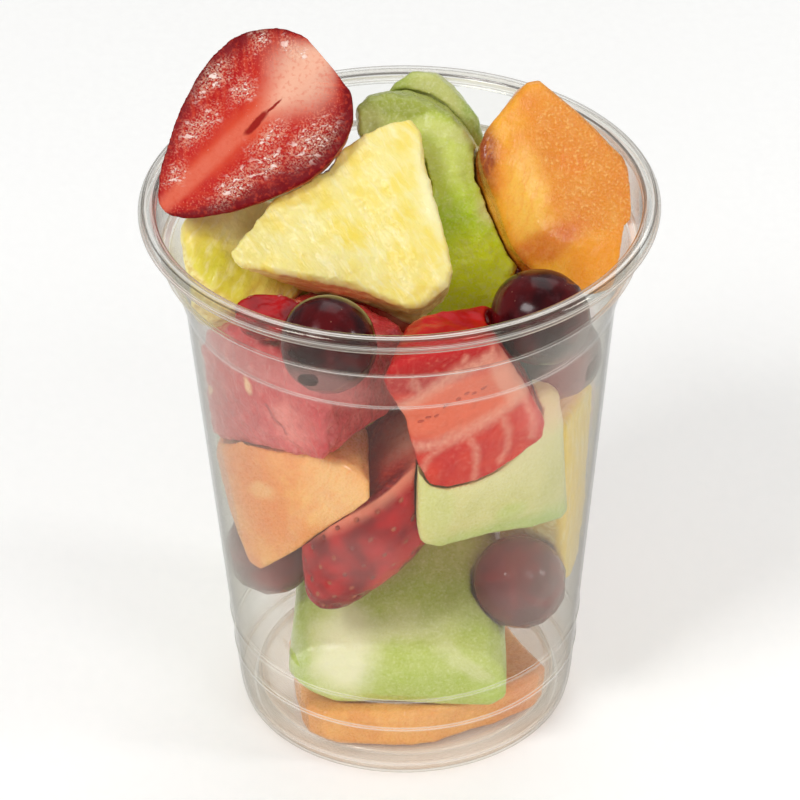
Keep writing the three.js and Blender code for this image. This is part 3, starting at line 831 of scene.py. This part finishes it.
def berry_finish(name, slit=(), wettest=(), core=0, blush=0):
    """Skin all round, and flesh where one of the berry's own cutting planes lies.

    Slit lists the ovals of the hollow, painted in shade, and wettest the ovals where juice stands and the
    most glints are painted. Core is how far the core lies to the side, and blush how strongly pale flesh
    shows through the skin beside the cut.
    """
    length, width, taper, cuts = BERRY_SHAPE[name]
    finish, point = finish_on(name)
    x, y, z = (finish.axis(point, i) for i in range(3))
    broad = finish.clouds(point, 6)
    fine = finish.clouds(point, 0.9, 3)
    beads = finish.clouds(point, 0.4, 2)
    cut, edge = 0, 0
    for direction, distance in cuts:
        outward = Vector(direction).normalized()
        along = finish.node(
            "ShaderNodeVectorMath", {"operation": "DOT_PRODUCT"}, {0: point, 1: outward}, output=1
        )
        cut = (distance - along).between(*CUT_DEPTH).most(cut)
        edge = (distance - along).between(*BLUSH_DEPTH).most(edge)
    # How far from the axis, from 0 in the core to 1 at the skin.
    level = y * (-2 / length)
    radius = (1 - level * level).most(0.03) ** 0.5 * (1 - level * taper) * (width / 2)
    from_axis = ((x - core) * (x - core) + z * z) ** 0.5
    reach = from_axis / radius + (broad - 0.5) * 0.22
    # Veins lean towards the calyx as they run outwards.
    lean = y - from_axis * 0.75
    vein_point = finish.node("ShaderNodeCombineXYZ", None, {
        "X": lean * 0.9, "Y": from_axis * 0.16, "Z": x * 0.02,
    })
    veins = finish.clouds(vein_point, 1, 3).between(0.48, 0.66) * reach.between(0.12, 0.34)
    flesh = finish.mix(reach.between(0.1, 0.34), FLESH_ORANGE, FLESH_RED)
    flesh = finish.mix(reach.between(0.3, 0.72), flesh, FLESH_DEEP)
    flesh = finish.mix(reach.between(0.64, 0.94), flesh, SKIN_DARK)
    heart = abs(x - core).between(2.3, 0.6) * z.between(-3, -1)
    flesh = finish.mix(heart * (fine * 1.1 + 0.05), flesh, FLESH_CORE)
    fan = (y + broad * 6 - abs(x - core - 1) * 0.9).between(4, length * 0.34) * reach.between(0.8, 0.2)
    flesh = finish.mix(fan * (veins * 0.3 + 0.6), flesh, FLESH_PALE)
    flesh = finish.mix(veins * reach.between(0.95, 0.7) * 0.35, flesh, FLESH_ORANGE)
    flesh = finish.mix(fine.between(0.5, 0.7) * 0.35, flesh, FLESH_ORANGE)
    beaded = beads.between(0.54, 0.66) * reach.between(0.15, 0.4) * reach.between(0.95, 0.6)
    flesh = finish.mix(beaded * 0.5, flesh, FLESH_CORE)
    wet = 0
    for at, half in wettest:
        wet = finish.oval(finish.bent(point, 4, 4), at, half).between(2, 0.1).most(wet)
    # Painted glints: pale beads in the wettest spots.
    flesh = finish.mix(wet * beads.between(0.42, 0.58) * 0.4, flesh, FLESH_PALE)
    # Juice stands between the cells in tiny drops: their glints are painted in a pale tone, and the drops
    # also bump the surface and make it glossier.
    gleam = finish.clouds(finish.laid(finish.bent(point, 2, 1.2), (0.5, 0.9, 0.5), -35), 1, 3, 0.7)
    drops_and_painted_glints = gleam.between(0.67 - wet * 0.13, 0.76 - wet * 0.14) * (0.3 + wet * 0.6)
    pools = finish.clouds(finish.laid(finish.bent(point, 3, 2), (1, 1.9, 1), -38), 1, 2)
    drops_and_painted_glints = drops_and_painted_glints.most(pools.between(0.6, 0.66) * wet) * reach.between(1.0, 0.93)
    flesh = finish.mix(drops_and_painted_glints * 0.9, flesh, PAINTED_GLINT_TONE)
    bump = drops_and_painted_glints * 0.3 + beads * 0.12 + fine * 0.25 + broad * 0.2 + veins * 0.06
    gap = 0
    # The hollow is only a shallow dent; its dark red is painted shade.
    for spot in slit:
        gap = finish.spot(finish.bent(point, 2.5, 1.2), *spot).most(gap)
    flesh = finish.mix(gap * 0.95, flesh, PAINTED_HOLLOW_SHADE)
    bump = bump - gap * 0.3
    skin = finish.mix(broad.between(0.35, 0.7), SKIN_RED, SKIN_DARK)
    skin = finish.mix(y.between(length * 0.3, length * 0.48) * 0.6, skin, FLESH_RED)
    skin = finish.mix(edge * blush, skin, BLUSH_TONE)
    base = finish.mix(cut, skin, flesh)
    height = (broad * 0.5 + fine * 0.2) * (1 - cut) + bump * cut
    rough = (0.45 - drops_and_painted_glints * 0.3 + gap * 0.3) * cut + (1 - cut) * 0.16 + fine * 0.06
    return finish.flesh(base, rough, height, bump=0.8, shine=0.18)


WEDGE_FLESH = ((202, 30, 26), (216, 54, 34))
WEDGE_SKIN = ((196, 14, 20), (166, 10, 18))
WEDGE_SALMON = (235, 120, 86)
WEDGE_PALE = (238, 170, 144)
WEDGE_DEEP = (178, 8, 12)
WEDGE_SHOULDER = (196, 14, 24)
WEDGE_VEIN = (244, 186, 158)
WEDGE_GRAIN = (240, 160, 132)
WEDGE_PIT = (182, 64, 52)
UPPER_VEIN = [(-13.5, 5), (-8.5, 7.4), (-1.6, 10), (5.4, 12)]
LOWER_VEIN = [(-11.5, -5.6), (-4.4, -4.4), (1.7, -3.4), (8.8, -1), (13, 2.8)]
SIDE_VEINS = (
    [(0.6, -4), (2.4, -7.5), (2.9, -12), (2.4, -16.5)], [(8, -2.2), (9.4, -6), (9.4, -10), (8.2, -13)],
    [(-4.3, -5), (-6.6, -8), (-7.9, -12.6)], [(12.6, 0), (14.4, -4), (14.6, -9)],
    [(-1, 10), (0.5, 13)], [(-8, 7.5), (-10.4, 11)], [(3.5, 11), (6, 13.4)],
)
PITS = ((-8.5, 1.2), (-7.2, 2.1), (-5.5, 2.2), (-3.6, 3.6), (-1.1, 4.3), (0.6, 5.1), (2.2, 5), (4, 5.6))


def wedge_finish(name):
    """The cut-off piece in the middle: a red shoulder, a salmon heart and curved white veins."""
    finish, point = finish_on(name)
    y, z = finish.axis(point, 1), finish.axis(point, 2)
    wavy = finish.bent(point, 5, 1.6)
    broad = finish.clouds(point, 5, 2, 0.5, 0.4)
    fine = finish.clouds(point, 0.8, 3)
    face = z.between(-1.3, -0.5)
    salmon = finish.spot(wavy, (-1, 3), (15, 6), 8)
    flesh = finish.mix(broad.between(0.3, 0.7), *WEDGE_FLESH)
    flesh = finish.mix(salmon * 0.8, flesh, WEDGE_SALMON)
    flesh = finish.mix(finish.spot(wavy, (9.5, 7), (3.5, 8), 24) * 0.6, flesh, WEDGE_PALE)
    flesh = finish.mix(finish.spot(wavy, (-5, 12.6), (13, 4), 4) * 0.95, flesh, WEDGE_DEEP)
    dome = y.between(12.5, 16)
    flesh = finish.mix(dome * 0.9, flesh, WEDGE_SHOULDER)
    veins = finish.line(wavy, UPPER_VEIN, 2.6)
    veins = veins.most(finish.line(wavy, LOWER_VEIN, 2.8))
    for path in SIDE_VEINS:
        veins = veins.most(finish.line(wavy, path, 1.5) * 0.7)
    flesh = finish.mix(veins * (fine * 0.7 + 0.15), flesh, WEDGE_VEIN)
    flesh = finish.mix(fine.between(0.5, 0.75) * 0.2, flesh, WEDGE_GRAIN)
    pits = 0
    for at in PITS:
        pits = finish.spot(wavy, at, (0.5, 0.3), 15).most(pits)
    flesh = finish.mix(pits * 0.7, flesh, WEDGE_PIT)
    skin = finish.mix(broad.between(0.35, 0.7), *WEDGE_SKIN)
    base = finish.mix(face, skin, flesh)
    height = face * (fine * 0.5 + broad * 0.6 - pits * 1.2 + veins * 0.25) + (1 - face) * broad * 0.6
    rough = face * 0.15 + 0.25
    return finish.flesh(base, rough, height, bump=0.7, depth=0.45, shine=0.12)


SEED_TONES = ((176, 84, 52), (116, 30, 28))


def seed_finish():
    finish = Finish("seed_finish")
    tone = finish.clouds(finish.laid(finish.where(), (MM, MM, MM)), 2.5)
    base = finish.mix(tone.between(0.35, 0.65), *SEED_TONES)
    return finish.flesh(base, 0.25, tone, soft=0.05)


SEED = seed_finish()
print("strawberry finishes ready")

# %% The strawberries
SEED_COUNT = {"strawberry_top": 190, "strawberry_low": 170, "strawberry_small": 60, "strawberry_rear": 150}
BERRY_LOOK = {
    "strawberry_top": {
        "slit": [((0, 2.6), (0.75, 3), 3), ((0, 7), (0.28, 2), -3)],
        "core": -0.8,
        "wettest": [
            ((-12, 3), (1.7, 4)), ((-6.4, 5), (1.6, 2.4)), ((-11.4, 14), (1.4, 2)),
            ((3.6, 2.5), (1.6, 3.6)), ((10, 8), (2.6, 4.6)), ((-7, -6), (1.7, 4)),
            ((6, -8), (1.9, 4.4)), ((-5, 17.5), (2.6, 1.2)), ((-3.5, -15), (1.4, 2)),
            ((7.5, -1), (1.5, 2.6)),
        ],
    },
    "strawberry_low": {"blush": 0.75},
}
SEED_GAP = 1.3
OFF_SKIN = 0.9


def cut_distance(name, point, cuts):
    """How far inside the nearest cutting plane a point lies, in millimetres."""
    local = place_of(name).inverted() @ point / MM
    return min([d - local.dot(Vector(n).normalized()) for n, d in cuts] or [9])


for name, (length, width, taper, cuts) in BERRY_SHAPE.items():
    piece = berry_body(name, length, width, taper, cuts, name != "strawberry_top")
    soften(piece, FINE_FACES, 4)
    grain(piece, name, 7, 0.7, level=0.6)
    grain(piece, name, 2.6, 0.25)
    skin = surface_of(piece)
    points = [
        p for p in seeds_on_spiral(name, length, width, taper, SEED_COUNT[name])
        if cut_distance(name, p, cuts) > SEED_GAP and skin.find_nearest(p)[3] < OFF_SKIN * MM
    ]
    dimple(piece, points)
    along = turn_of(name) @ Vector((0, 1, 0))
    seeds = lay_seeds(name + "_seeds", piece, points, along)
    paint(seeds, SEED)
    settle(piece, name)
    paint(piece, berry_finish(name, **BERRY_LOOK.get(name, {})))
    print(piece.name, len(piece.data.polygons), "faces")

# %% [markdown]
# ## Cut chunks
# Melons, pineapple and the cut-off strawberry keep the planes that a knife left, with softened edges.
# A merged copy of the CAD solid is the best start, because its planes and its clearances are right.
# It is rebuilt from small even faces, rubbed round, and given the grain of its own kind of fruit.

# %% Bodies of the chunks
GRAIN = {
    # size of the grain, or its sizes along the piece's three axes, and its depth
    "pineapple": (((9, 2, 4), 0.4), (2.2, 0.3), (1, 0.18)),
    "honeydew": ((9, 0.5), (1.6, 0.1)),
    "cantaloupe": ((8, 0.6), (1.5, 0.14)),
    "watermelon": ((7, 1.0), (2.4, 0.7), (1.2, 0.25)),
    "strawberry": ((6, 0.6), (1.3, 0.14)),
}
RAGGED = {
    # further grain for the pieces that a blunt knife has torn
    "honeydew_top": (2.4, 0.7), "pineapple_front": (3, 0.6),
    "watermelon_left": (3.4, 0.9), "strawberry_centre": (2.6, 0.5),
    "honeydew_back": (1.8, 0.4), "pineapple_left": (3, 0.5),
}
FIBRE_TURN = {"pineapple_front": -50, "pineapple_left": 35, "pineapple_right": 80}
SEEN_BEST = (
    "pineapple_front", "cantaloupe_top", "honeydew_top", "strawberry_centre", "watermelon_left",
    "cantaloupe_left", "honeydew_mid", "honeydew_low", "cantaloupe_low", "pineapple_left",
)
chunks = {}
for name in PLACES:
    kind = name.split("_")[0]
    if name in BERRY_SHAPE or kind == "grape":
        continue
    piece = copy_of_solid(name, name + "_body")
    soften(piece, FINE_FACES if name in SEEN_BEST else COARSE_FACES, 3)
    layers = GRAIN[kind] + ((RAGGED[name],) if name in RAGGED else ())
    for size, depth in layers:
        grain(piece, name, size, depth, angle=FIBRE_TURN.get(name, 0))
    settle(piece, name)
    chunks[name] = piece
print("chunks:", len(chunks), "with", sum(len(p.data.polygons) for p in chunks.values()), "faces")

# %% [markdown]
# ## How the cut flesh differs from place to place
# A knife crosses ripe and unripe flesh, so one face holds several tones. A few tones are painted light,
# painted highlights or painted shade instead, each marked where it stands.
# The table names those places on each face: the middle, the half size, the turn, the tone and its strength.
# The ovals are pushed about by noise before they are used, so that no edge of them shows.

# %% Tones by place
PALE_STRAW = (252, 244, 192)
GOLD = (248, 222, 84)
OLIVE = (150, 158, 66)
LIME = (176, 212, 16)
CREAM = (228, 226, 170)
TONES = {
    "pineapple_front": [
        ((8.6, 5.7), (3, 2), 30, GOLD, 0.6),
        ((-1.2, 10.1), (4, 1.6), 15, GOLD, 0.5),
        ((-0.8, -4.1), (4, 2), -30, GOLD, 0.6),
        ((10, -8.9), (3.5, 2), 20, GOLD, 0.5),
        ((3, 2), (2, 4), 40, GOLD, 0.5),
        ((14.5, 4), (2, 9), 18, PALE_STRAW, 0.7),
        ((-18, -8), (5, 4), 30, (230, 216, 128), 0.6),
    ],
    "pineapple_left": [
        ((-9, -2), (6, 9), 0, (222, 212, 40), 0.85),
        # Painted light: a near-white patch lifts the middle that the strawberry above shades.
        ((3, 5), (7, 8), 20, (255, 246, 172), 0.95),
        ((0, -9), (6, 4), -20, (240, 226, 90), 0.7),
    ],
    "honeydew_top": [
        ((2, 9), (8, 5), -20, (206, 218, 110), 0.8),
        ((3, -10), (8, 11), 0, LIME, 0.85),
        ((-5, 19.5), (15, 3.6), -6, OLIVE, 0.85),
        ((6.8, 13), (3, 6), 35, OLIVE, 0.7),
        ((-12, 15), (3.5, 3.5), 0, (196, 196, 120), 0.8),
        # Painted highlight: a pale sheen.
        ((9.5, -1.5), (3.2, 2.6), 60, CREAM, 0.55),
        ((12.4, 0), (2, 12), 22, (240, 230, 140), 0.9),
        # Painted light: a bright lime patch lifts the lower part that the pineapple shades.
        ((6, -16), (9, 9), 0, (232, 250, 34), 0.9),
        ((1, 13.4), (9, 1.4), -18, (212, 214, 140), 0.5),
    ],
    "honeydew_back": [
        ((-8, 3), (3, 8), -20, (170, 186, 82), 0.7),
        ((7, 2), (2.6, 9), 30, (150, 176, 76), 0.8),
        ((0, 5), (5, 4), 0, (200, 204, 124), 0.7),
    ],
    "cantaloupe_top": [
        ((5, 4), (10, 16), 15, (228, 134, 34), 0.8),
        # Painted shade: the far left corner, in shadow against the honeydew.
        ((-13.8, 7), (2.8, 8), -6, (142, 52, 14), 0.92),
        ((-6.5, -1), (3.6, 8), 0, (252, 196, 80), 0.8),
        ((8, -15), (9, 5), 0, (240, 150, 24), 0.85),
        ((3, 3.8), (2.2, 2.8), 15, (236, 130, 34), 0.6),
        ((-4, -10.6), (7, 3), 20, (208, 86, 22), 0.65),
    ],
    "cantaloupe_left": [
        ((-8, -1), (8, 13), 20, (232, 128, 38), 0.8),
        ((12, 6), (8, 10), 0, (246, 200, 136), 0.6),
        ((-17, -6), (2, 10), 10, (234, 128, 56), 0.7),
        ((-7, 0), (3.4, 1.6), 20, (250, 200, 130), 0.6),
        ((2, -4), (1.6, 9), -30, (236, 160, 92), 0.6),
    ],
    "watermelon_left": [
        ((9, -1), (5, 5), 20, (236, 150, 136), 0.7),
        ((-8, 0), (7, 10), 0, (196, 56, 62), 0.6),
        ((2, -9), (3, 5), 20, (184, 44, 52), 0.6),
        ((16, 2), (6, 8), 20, (192, 60, 62), 0.6),
        ((-3, 1.7), (0.8, 1.3), 20, (242, 200, 150), 0.95),
        ((-14.8, -5.7), (0.8, 1.2), -20, (242, 200, 150), 0.95),
    ],
    "honeydew_mid": [
        ((4, 4), (16, 10), 0, (234, 226, 168), 0.7),
        ((0, -17.5), (24, 4.6), -3, (170, 196, 92), 0.85),
        ((3.1, -11.2), (3.2, 1.9), 0, (190, 208, 104), 0.5),
        ((-13, -6), (3, 9), 0, (206, 214, 128), 0.5),
    ],
    "honeydew_low": [
        ((-10.5, 4), (6, 7), -10, (246, 240, 200), 0.9),
        ((-19.5, 4), (2.4, 12), 10, (180, 200, 84), 0.7),
        ((4, -1), (9, 4), 0, (176, 192, 76), 0.7),
        # Painted highlights: pale lines along the ridges.
        ((13.5, 3), (8, 1.6), -35, CREAM, 0.55),
        ((0, 9), (13, 1.8), 5, CREAM, 0.6),
        ((2, 15), (16, 5), -6, (160, 180, 66), 0.8),
        ((19, -3), (4, 4), 0, (184, 204, 88), 0.7),
    ],
    "pineapple_right": [((0, 0), (30, 40), 0, (244, 204, 20), 0.95)],
    "cantaloupe_low": [
        ((0, -16), (22, 3), 0, (242, 180, 106), 0.5),
        ((20, -4), (6, 8), 20, (232, 140, 90), 0.6),
    ],
}


def toned(finish, name, point, base):
    """Lays the tones of this piece over its base colour, one after the other."""
    wavy = finish.bent(finish.bent(point, 7, 4), 1.6, 0.8)
    for at, half, angle, tone, strength in TONES.get(name, []):
        base = finish.mix(finish.oval(wavy, at, half, angle).between(1.5, 0.5) * strength, base, tone)
    return base


# %% Pineapple finish
PINEAPPLE_FACE = ((247, 232, 148), (244, 222, 104))
PINEAPPLE_SIDE = ((232, 206, 110), (252, 238, 160))
FIBRE_TONE = (252, 244, 196)
THREAD_TONE = (232, 202, 96)


def pineapple_finish(name, fibre_turn):
    """Pale yellow flesh with whitish fibres; the sides cut along the fibres are darker and streaked."""
    finish, point = finish_on(name)
    wavy = finish.bent(point, 5, 3)
    face = finish.axis(point, 2).between(-2.0, -0.8)
    strands = finish.clouds(finish.laid(wavy, (6.5, 1.3, 3.5), fibre_turn), 1, 3, 0.6)
    threads = finish.clouds(finish.laid(wavy, (4, 0.4, 1.8), fibre_turn), 1, 2)
    streaks = finish.clouds(finish.laid(point, (9, 0.8, 1.2), -14), 1, 3)
    blotch = finish.clouds(point, 6, 2, 0.5, 0.6)
    fine = finish.clouds(point, 0.7, 2)
    base = finish.mix(blotch.between(0.4, 0.7), *PINEAPPLE_FACE)
    base = toned(finish, name, point, base)
    base = finish.mix(strands.between(0.45, 0.75) * 0.5, base, FIBRE_TONE)
    base = finish.mix(threads.between(0.6, 0.78) * 0.14, base, THREAD_TONE)
    side = finish.mix(streaks.between(0.35, 0.65), *PINEAPPLE_SIDE)
    base = finish.mix(face, side, base)
    height = strands * 0.5 + threads * 0.25 + fine * 0.35
    return finish.flesh(
        base, fine * 0.3 + 0.2, height, bump=0.5, depth=0.5, soft=0.2, tint=(1, 0.75, 0.25),
    )


# %% Melon finishes
HONEYDEW_CELLS = (232, 234, 180)
HONEYDEW_DROPS_AND_GLINTS = (240, 242, 204)
CANTALOUPE_CELLS = (252, 200, 116)
CANTALOUPE_DROPS_AND_GLINTS = (255, 200, 118)
WATERMELON_FLESH = ((192, 44, 50), (212, 78, 78))
WATERMELON_GRAIN = (244, 166, 154)
WATERMELON_PALE = (236, 140, 130)
WATERMELON_DEEP = (168, 30, 40)
CREASE = [(2.4, 0), (4.4, -2.4), (7.5, -4)]
PAINTED_CREASE_SHADE = (140, 26, 36)


def honeydew_finish(name, first, second):
    """Pale green flesh, smooth and moist."""
    finish, point = finish_on(name)
    broad = finish.clouds(point, 8, 2, 0.5, 0.5)
    mottle = finish.clouds(point, 1.2, 3)
    fine = finish.clouds(point, 0.5, 2)
    base = toned(finish, name, point, finish.mix(broad.between(0.35, 0.65), first, second))
    base = finish.mix(mottle.between(0.4, 0.75) * 0.18, base, HONEYDEW_CELLS)
    # Juice drops, with their glints painted as pale specks.
    base = finish.mix(fine.between(0.52, 0.7) * 0.22, base, HONEYDEW_DROPS_AND_GLINTS)
    height = fine * 0.4 + mottle * 0.6
    return finish.flesh(
        base, fine * 0.25 + 0.18, height, bump=0.4, soft=0.22, soft_reach=2.4, tint=(0.9, 1, 0.35),
    )


def cantaloupe_finish(name, light, deep, fresh=()):
    """Orange flesh. Where the knife has torn it, the cells stand open: the bump grows there, and more pale
    specks are painted for their glitter.
    """
    finish, point = finish_on(name)
    broad = finish.clouds(point, 8, 2, 0.5, 0.6)
    mottle = finish.clouds(point, 1.8, 3)
    fine = finish.clouds(point, 0.5, 2)
    strings = finish.clouds(finish.laid(finish.bent(point, 3, 2.5), (4, 0.6, 2), 62), 1, 3)
    torn = 0
    for spot in fresh:
        torn = finish.spot(finish.bent(point, 5, 4), *spot).most(torn)
    base = toned(finish, name, point, finish.mix(broad.between(0.35, 0.65), light, deep))
    base = finish.mix(mottle.between(0.5, 0.75) * 0.2, base, CANTALOUPE_CELLS)
    base = finish.mix(strings.between(0.48, 0.66) * 0.35, base, deep)
    base = finish.mix(fine.between(0.54, 0.7) * (torn * 0.6 + 0.1), base, CANTALOUPE_DROPS_AND_GLINTS)
    height = fine * (torn * 1.1 + 0.15) + mottle * 0.5 + strings * 0.3
    return finish.flesh(
        base, fine * 0.25 + 0.16, height, bump=0.6, depth=0.45,
        soft=0.2, soft_reach=2.2, tint=(1, 0.5, 0.15), shine=0.7,
    )


def watermelon_finish(name):
    """Pink-red flesh of tiny sugary grains, with paler streaks."""
    finish, point = finish_on(name)
    broad = finish.clouds(point, 9, 2, 0.5, 0.8)
    grains = finish.cells(point, 0.8)
    mottle = finish.clouds(point, 2.2, 3)
    crease = finish.line(finish.bent(point, 3, 1), CREASE, 0.8)
    base = finish.mix(broad.between(0.35, 0.68), *WATERMELON_FLESH)
    base = toned(finish, name, point, base)
    base = finish.mix(grains.between(0.35, 0.1) * 0.25, base, WATERMELON_GRAIN)
    base = finish.mix(mottle.between(0.52, 0.72) * 0.35, base, WATERMELON_PALE)
    base = finish.mix(mottle.between(0.45, 0.3) * 0.4, base, WATERMELON_DEEP)
    # Painted shade: a dark red line along the dented crease.
    base = finish.mix(crease * 0.6, base, PAINTED_CREASE_SHADE)
    height = grains * -0.5 + mottle * 0.8 - crease
    return finish.flesh(
        base, grains * 0.3 + 0.18, height, bump=0.6, depth=0.45,
        soft=0.18, tint=(1, 0.4, 0.35), shine=0.7,
    )


LIGHT_GREEN = ((208, 212, 140), (186, 200, 104))
HONEYDEW = {
    "honeydew_top": ((206, 222, 92), (190, 212, 60)),
    "honeydew_back": ((190, 197, 112), (176, 188, 94)),
    "honeydew_mid": ((218, 212, 138), (208, 204, 124)),
    "honeydew_low": ((196, 206, 108), (180, 194, 80)),
}
CANTALOUPE = {
    "cantaloupe_top": ((246, 174, 50), (234, 144, 34)),
    "cantaloupe_left": ((246, 182, 96), (238, 150, 64)),
    "cantaloupe_low": ((244, 170, 84), (232, 148, 62)),
}
for name in chunks:
    kind = name.split("_")[0]
    if kind == "pineapple":
        look = pineapple_finish(name, FIBRE_TURN.get(name, 70))
    elif kind == "honeydew":
        look = honeydew_finish(name, *HONEYDEW.get(name, LIGHT_GREEN))
    elif kind == "cantaloupe":
        torn = [((6, 4), (9, 15), 15), ((12, -2), (4, 8), 0)] if name == "cantaloupe_top" else []
        look = cantaloupe_finish(name, *CANTALOUPE.get(name, CANTALOUPE["cantaloupe_low"]), torn)
    elif kind == "watermelon":
        look = watermelon_finish(name)
    else:
        look = wedge_finish(name)
    paint(chunks[name], look)
print("finishes:", len(chunks))

# %% [markdown]
# ## Grapes
# A red grape is almost black, with a tight glossy skin, a dusty bloom and tiny pale dots.
# One ball is shaped with a stem scar at its end, then copied; each copy is scaled, turned and pressed flat
# where its neighbours hold it.

# %% One grape, then its copies
GRAPES = {
    # width, length
    "grape_front_left": (18, 19.5), "grape_right_upper": (18, 19.5), "grape_right": (16.6, 18),
    "grape_low_right": (18.2, 19.4), "grape_low_left": (17.4, 18.6), "grape_rear": (17.6, 19),
    "grape_rear_high": (17.4, 18.8),
}
bpy.ops.object.select_all(action="DESELECT")
bpy.ops.mesh.primitive_uv_sphere_add(segments=56, ring_count=40, radius=0.5)
grape_master = bpy.context.object
grape_master.name = "grape_master"
SCAR_RINGS = ((0.052, 0.028), (0.1, 0.012), (0.16, 0.004))
for reach, sink in SCAR_RINGS:
    for vertex in grape_master.data.vertices:
        vertex.select = vertex.co.z > 0 and math.hypot(vertex.co.x, vertex.co.y) < reach
    bpy.ops.object.mode_set(mode="EDIT")
    bpy.ops.transform.translate(value=(0, 0, -sink))
    bpy.ops.object.mode_set(mode="OBJECT")


DARK_GRAPE = ((38, 3, 7), (84, 12, 16))
RED_GRAPE = ((88, 14, 20), (124, 32, 34))
BLOOM_TONE = (170, 110, 120)
DOT_TONE = (180, 120, 100)


def grape_finish(name, first, second):
    finish, point = finish_on(name)
    broad = finish.clouds(point, 7, 2, 0.5, 0.5)
    dust = finish.clouds(point, 2.5, 4, 0.6)
    dots = finish.cells(point, 2.3)
    base = finish.mix(broad.between(0.35, 0.68), first, second)
    base = finish.mix(dust.between(0.45, 0.8) * 0.07, base, BLOOM_TONE)
    base = finish.mix(dots.between(0.08, 0.04) * 0.4, base, DOT_TONE)
    shell = finish.clouds(point, 3, 2)
    normal = finish.node("ShaderNodeBump", None, {"Strength": 0.2, "Distance": 0.2 * MM, "Height": shell})
    shader = finish.node("ShaderNodeBsdfPrincipled", None, {
        "Base Color": base, "Roughness": dust * 0.16 + 0.1, "Normal": normal, "Specular IOR Level": 0.3,
        "IOR": 1.4,
    })
    return finish.close(shader)


for name, (width, length) in GRAPES.items():
    piece = twin(grape_master, name + "_body")
    with editing(piece):
        bpy.ops.transform.resize(value=(width * MM, width * MM, length * MM), center_override=(0, 0, 0))
    put_in_place(piece, name)
    pressed_flat(piece, name)
    grain(piece, name, 8, 0.35)
    settle(piece, name)
    paint(piece, grape_finish(name, *(RED_GRAPE if "low" in name else DARK_GRAPE)))
    print(piece.name, len(piece.data.polygons), "faces")
for master in (grape_master, seed_master):
    bpy.data.objects.remove(master)
print("grapes:", len(GRAPES))

# %% [markdown]
# ## Floor, light and camera
# A wide pale floor lies under the cup, and a bright surround fills the shadows.
# Two small soft boxes high in front leave crisp glints on the wet flesh, and one at the right marks the rim.
# A wide one hangs behind. A wide low one in front lights the fruit in the cup, but isn't seen in the gloss.
# The camera stands a metre away and looks down at the cup, so the lens is long.

# %% Floor
FLOOR_SIZE = 8
FLOOR_GAP = 0.2
FLOOR_GLOW = 0.16
PAPER_TONES = ((246, 246, 245), (250, 250, 249))
bpy.ops.object.select_all(action="DESELECT")
bpy.ops.mesh.primitive_plane_add(size=FLOOR_SIZE, location=(0, 0, -FLOOR_GAP * MM))
floor = bpy.context.object
floor.name = "floor"
paper = Finish("pale_paper")
tooth = paper.clouds(paper.where(), 0.002)
paper_tone = paper.mix(tooth.between(0.2, 0.8), *PAPER_TONES)
paint(floor, paper.close(paper.node("ShaderNodeBsdfPrincipled", None, {
    "Base Color": paper_tone, "Roughness": 0.9, "Specular IOR Level": 0.1,
    "Emission Color": paper_tone, "Emission Strength": FLOOR_GLOW,
})))

# %% Lights
LOOKED_AT = Vector((0, 0, 80)) * MM
SURROUND = 0.37


def soft_box(name, direction, distance, size, power):
    """A square light, this far from the middle of the fruit and turned to it. Size and distance in m."""
    light = bpy.data.lights.new(name, "AREA")
    light.size = size
    light.energy = power
    lamp = bpy.data.objects.new(name, light)
    bpy.context.scene.collection.objects.link(lamp)
    lamp.location = Vector(direction).normalized() * distance + LOOKED_AT
    lamp.rotation_euler = Vector(direction).to_track_quat("Z", "Y").to_euler()
    return lamp


soft_box("key_left", (-0.5, -0.47, 0.73), 1.1, 0.32, 4.8)
soft_box("fill_right", (0.45, -0.56, 0.69), 1.2, 0.28, 1.5)
soft_box("top_back", (0.15, 0.6, 0.8), 1.3, 0.8, 3.4)
low_front = soft_box("low_front", (0, -1, 0.12), 1.5, 1.0, 6)
low_front.visible_glossy = False
soft_box("rim_right", (0.86, -0.14, 0.5), 1.2, 0.22, 2.2)
world = bpy.data.worlds.new("surround")
bpy.context.scene.world = world
world.use_nodes = True
world.node_tree.nodes["Background"].inputs["Color"].default_value = (1, 1, 0.99, 1)
world.node_tree.nodes["Background"].inputs["Strength"].default_value = SURROUND
bpy.context.scene.view_settings.view_transform = "Standard"

# %% Camera
AIM = Vector((-0.0004, 0, 0.06674))
CAMERA_DISTANCE = 0.9852
CAMERA_LIFT = 34.525
CAMERA_ROLL = -0.819
LENS = 230.7
FILM_WIDTH = 36
lift, roll = math.radians(CAMERA_LIFT), math.radians(CAMERA_ROLL)
back = Vector((0, -math.cos(lift), math.sin(lift)))
level_right, level_up = Vector((1, 0, 0)), Vector((0, math.sin(lift), math.cos(lift)))
right = level_right * math.cos(roll) + level_up * math.sin(roll)
up = level_up * math.cos(roll) - level_right * math.sin(roll)
lens = bpy.data.cameras.new("camera")
lens.lens = LENS
lens.sensor_width = FILM_WIDTH
lens.clip_start, lens.clip_end = 0.05, 20
camera = bpy.data.objects.new("camera", lens)
bpy.context.scene.collection.objects.link(camera)
facing_cup = Matrix((right, up, back)).transposed().to_4x4()
camera.matrix_world = Matrix.Translation(AIM + back * CAMERA_DISTANCE) @ facing_cup
bpy.context.scene.camera = camera

# %% Update the scene
bpy.context.view_layer.update()
